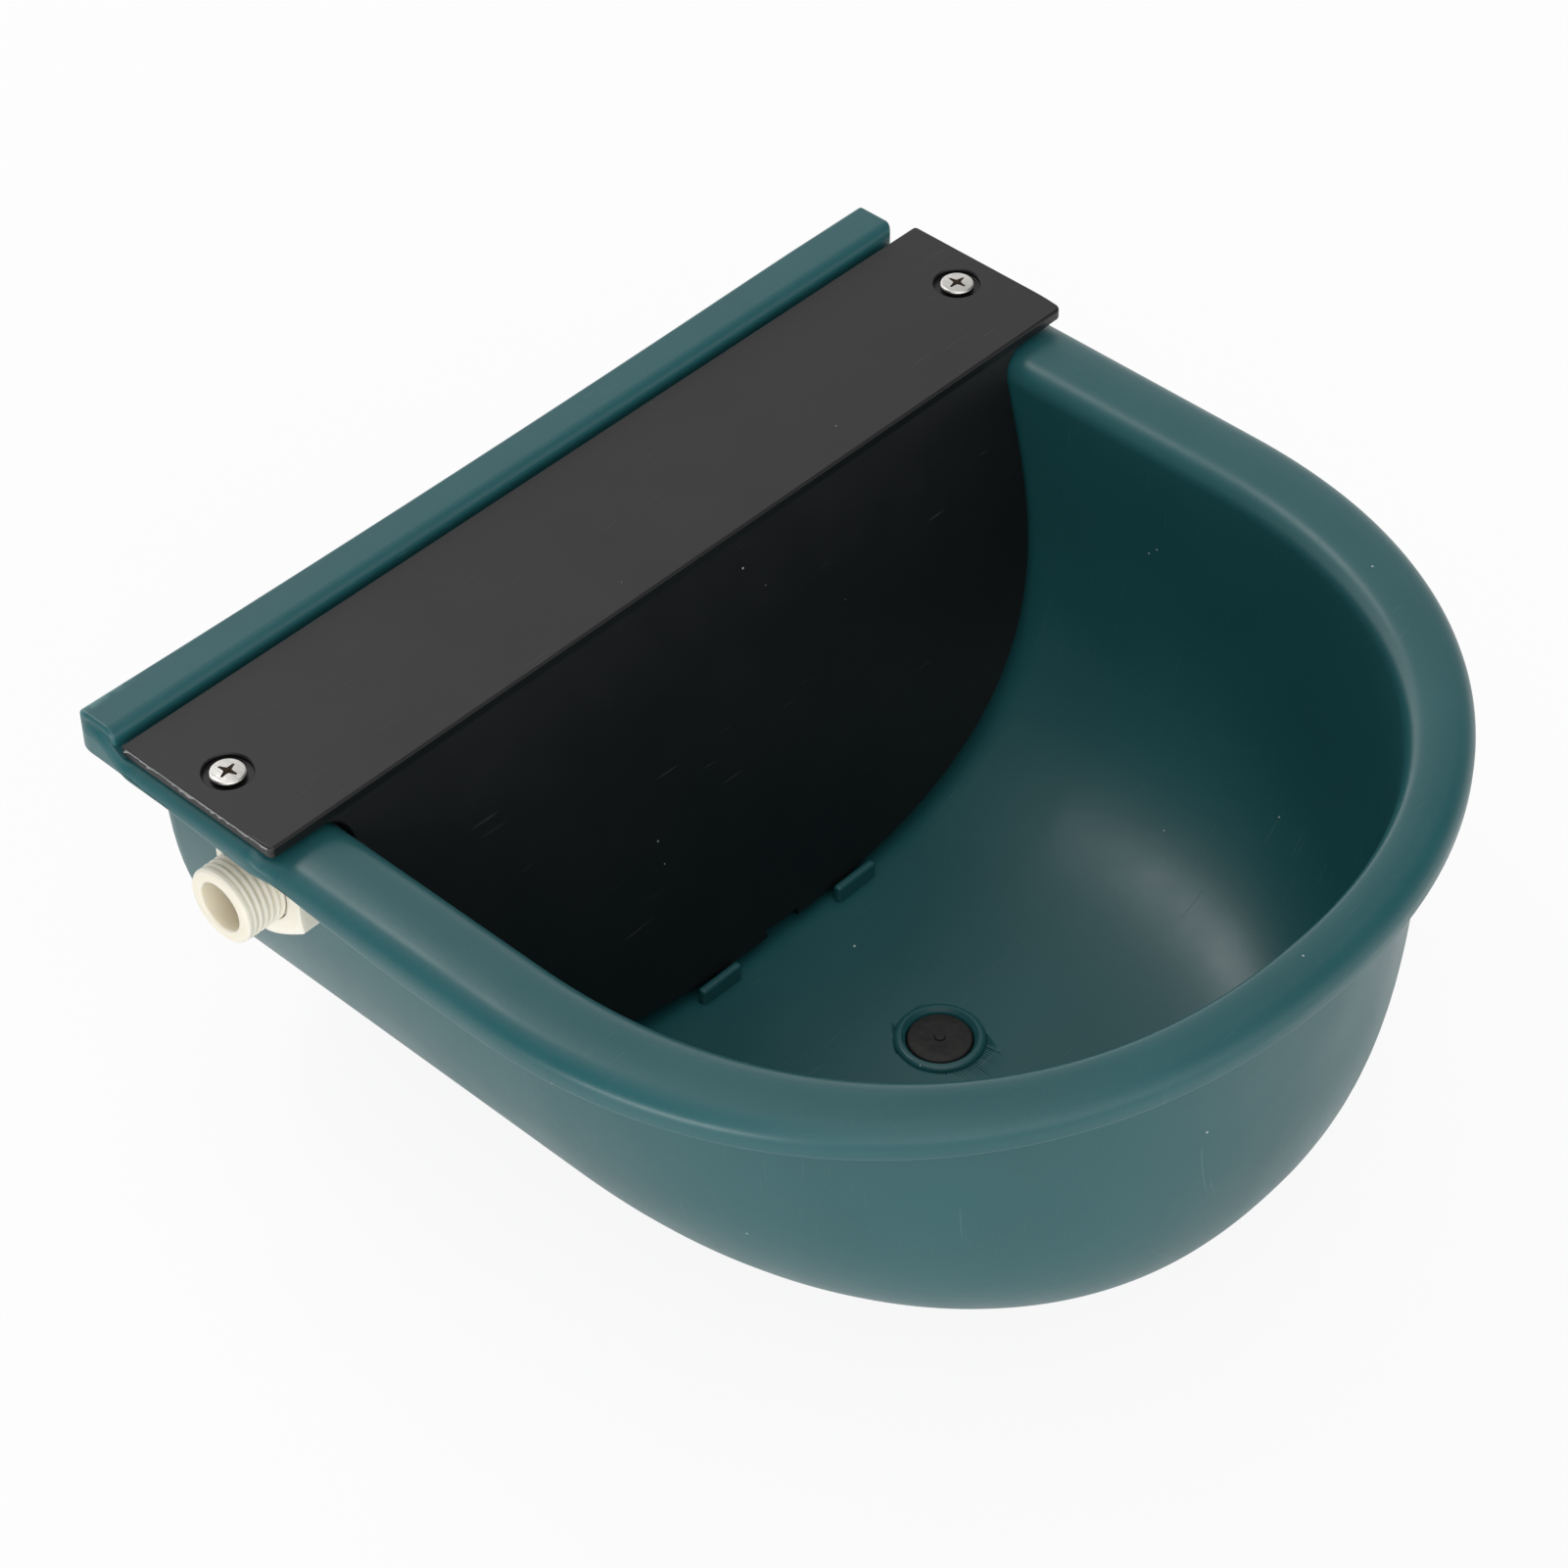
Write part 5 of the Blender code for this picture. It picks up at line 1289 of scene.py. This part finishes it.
def area_light(name, at, target, size, power):
    data = bpy.data.lights.new(name, "AREA")
    data.shape = "RECTANGLE"
    data.size, data.size_y = size
    data.energy = power
    made = linked(name, data)
    made.location = at
    made.rotation_euler = (Vector(target) - Vector(at)).to_track_quat("-Z", "Y").to_euler()
    return made


def make_world():
    """Soft white surroundings, brighter in some directions than in others."""
    world = bpy.data.worlds.new("white_room")
    bpy.context.scene.world = world
    world.use_nodes = True
    room = Nodes(world.node_tree)
    axes = dict(zip("xyz", room.parts(room.node("ShaderNodeTexCoord").outputs["Generated"])))

    def total(terms):
        found = terms[0]
        for term in terms[1:]:
            found = room.calc("ADD", found, term)
        return found

    terms = [room.times(axes[name], factor) for name, factor in ROOM_PARTS.items()]
    for (one, two), factor in ROOM_PRODUCTS.items():
        terms.append(room.times(room.times(axes[one], axes[two]), factor))
    for direction, power, factor in ROOM_LOBES:
        near = Vector(direction).normalized()
        facing = total([room.times(axis, part) for axis, part in zip(axes.values(), near)])
        lobe = room.calc("POWER", room.calc("MAXIMUM", facing, 0.0), power)
        terms.append(room.times(lobe, factor))
    sideways = room.calc("SUBTRACT", 1.0, room.times(axes["z"], axes["z"]))
    ring = room.calc("POWER", sideways, ROOM_RING_POWER)
    terms.append(room.times(ring, ROOM_RING))
    strength = room.calc("ADD", total(terms), ROOM_BASE)
    strength = room.calc("MINIMUM", room.calc("MAXIMUM", strength, ROOM_LEAST), ROOM_MOST)
    back = world.node_tree.nodes["Background"]
    back.inputs["Color"].default_value = (1, 1, 1, 1)
    room.wire(back.inputs["Strength"], strength)


def make_camera():
    data = bpy.data.cameras.new("photo_view")
    data.lens = CAMERA_LENS
    data.sensor_width = 36.0
    made = linked("photo_view", data)
    made.location = CAMERA_AT
    ahead = (CAMERA_TARGET - CAMERA_AT).to_track_quat("-Z", "Y")
    made.rotation_mode = "QUATERNION"
    made.rotation_quaternion = ahead @ Quaternion((0, 0, 1), CAMERA_ROLL)
    bpy.context.scene.camera = made


make_floor()
make_camera()
make_world()
for lamp in LAMPS:
    area_light(*lamp)

bpy.context.scene.view_settings.view_transform = "Standard"
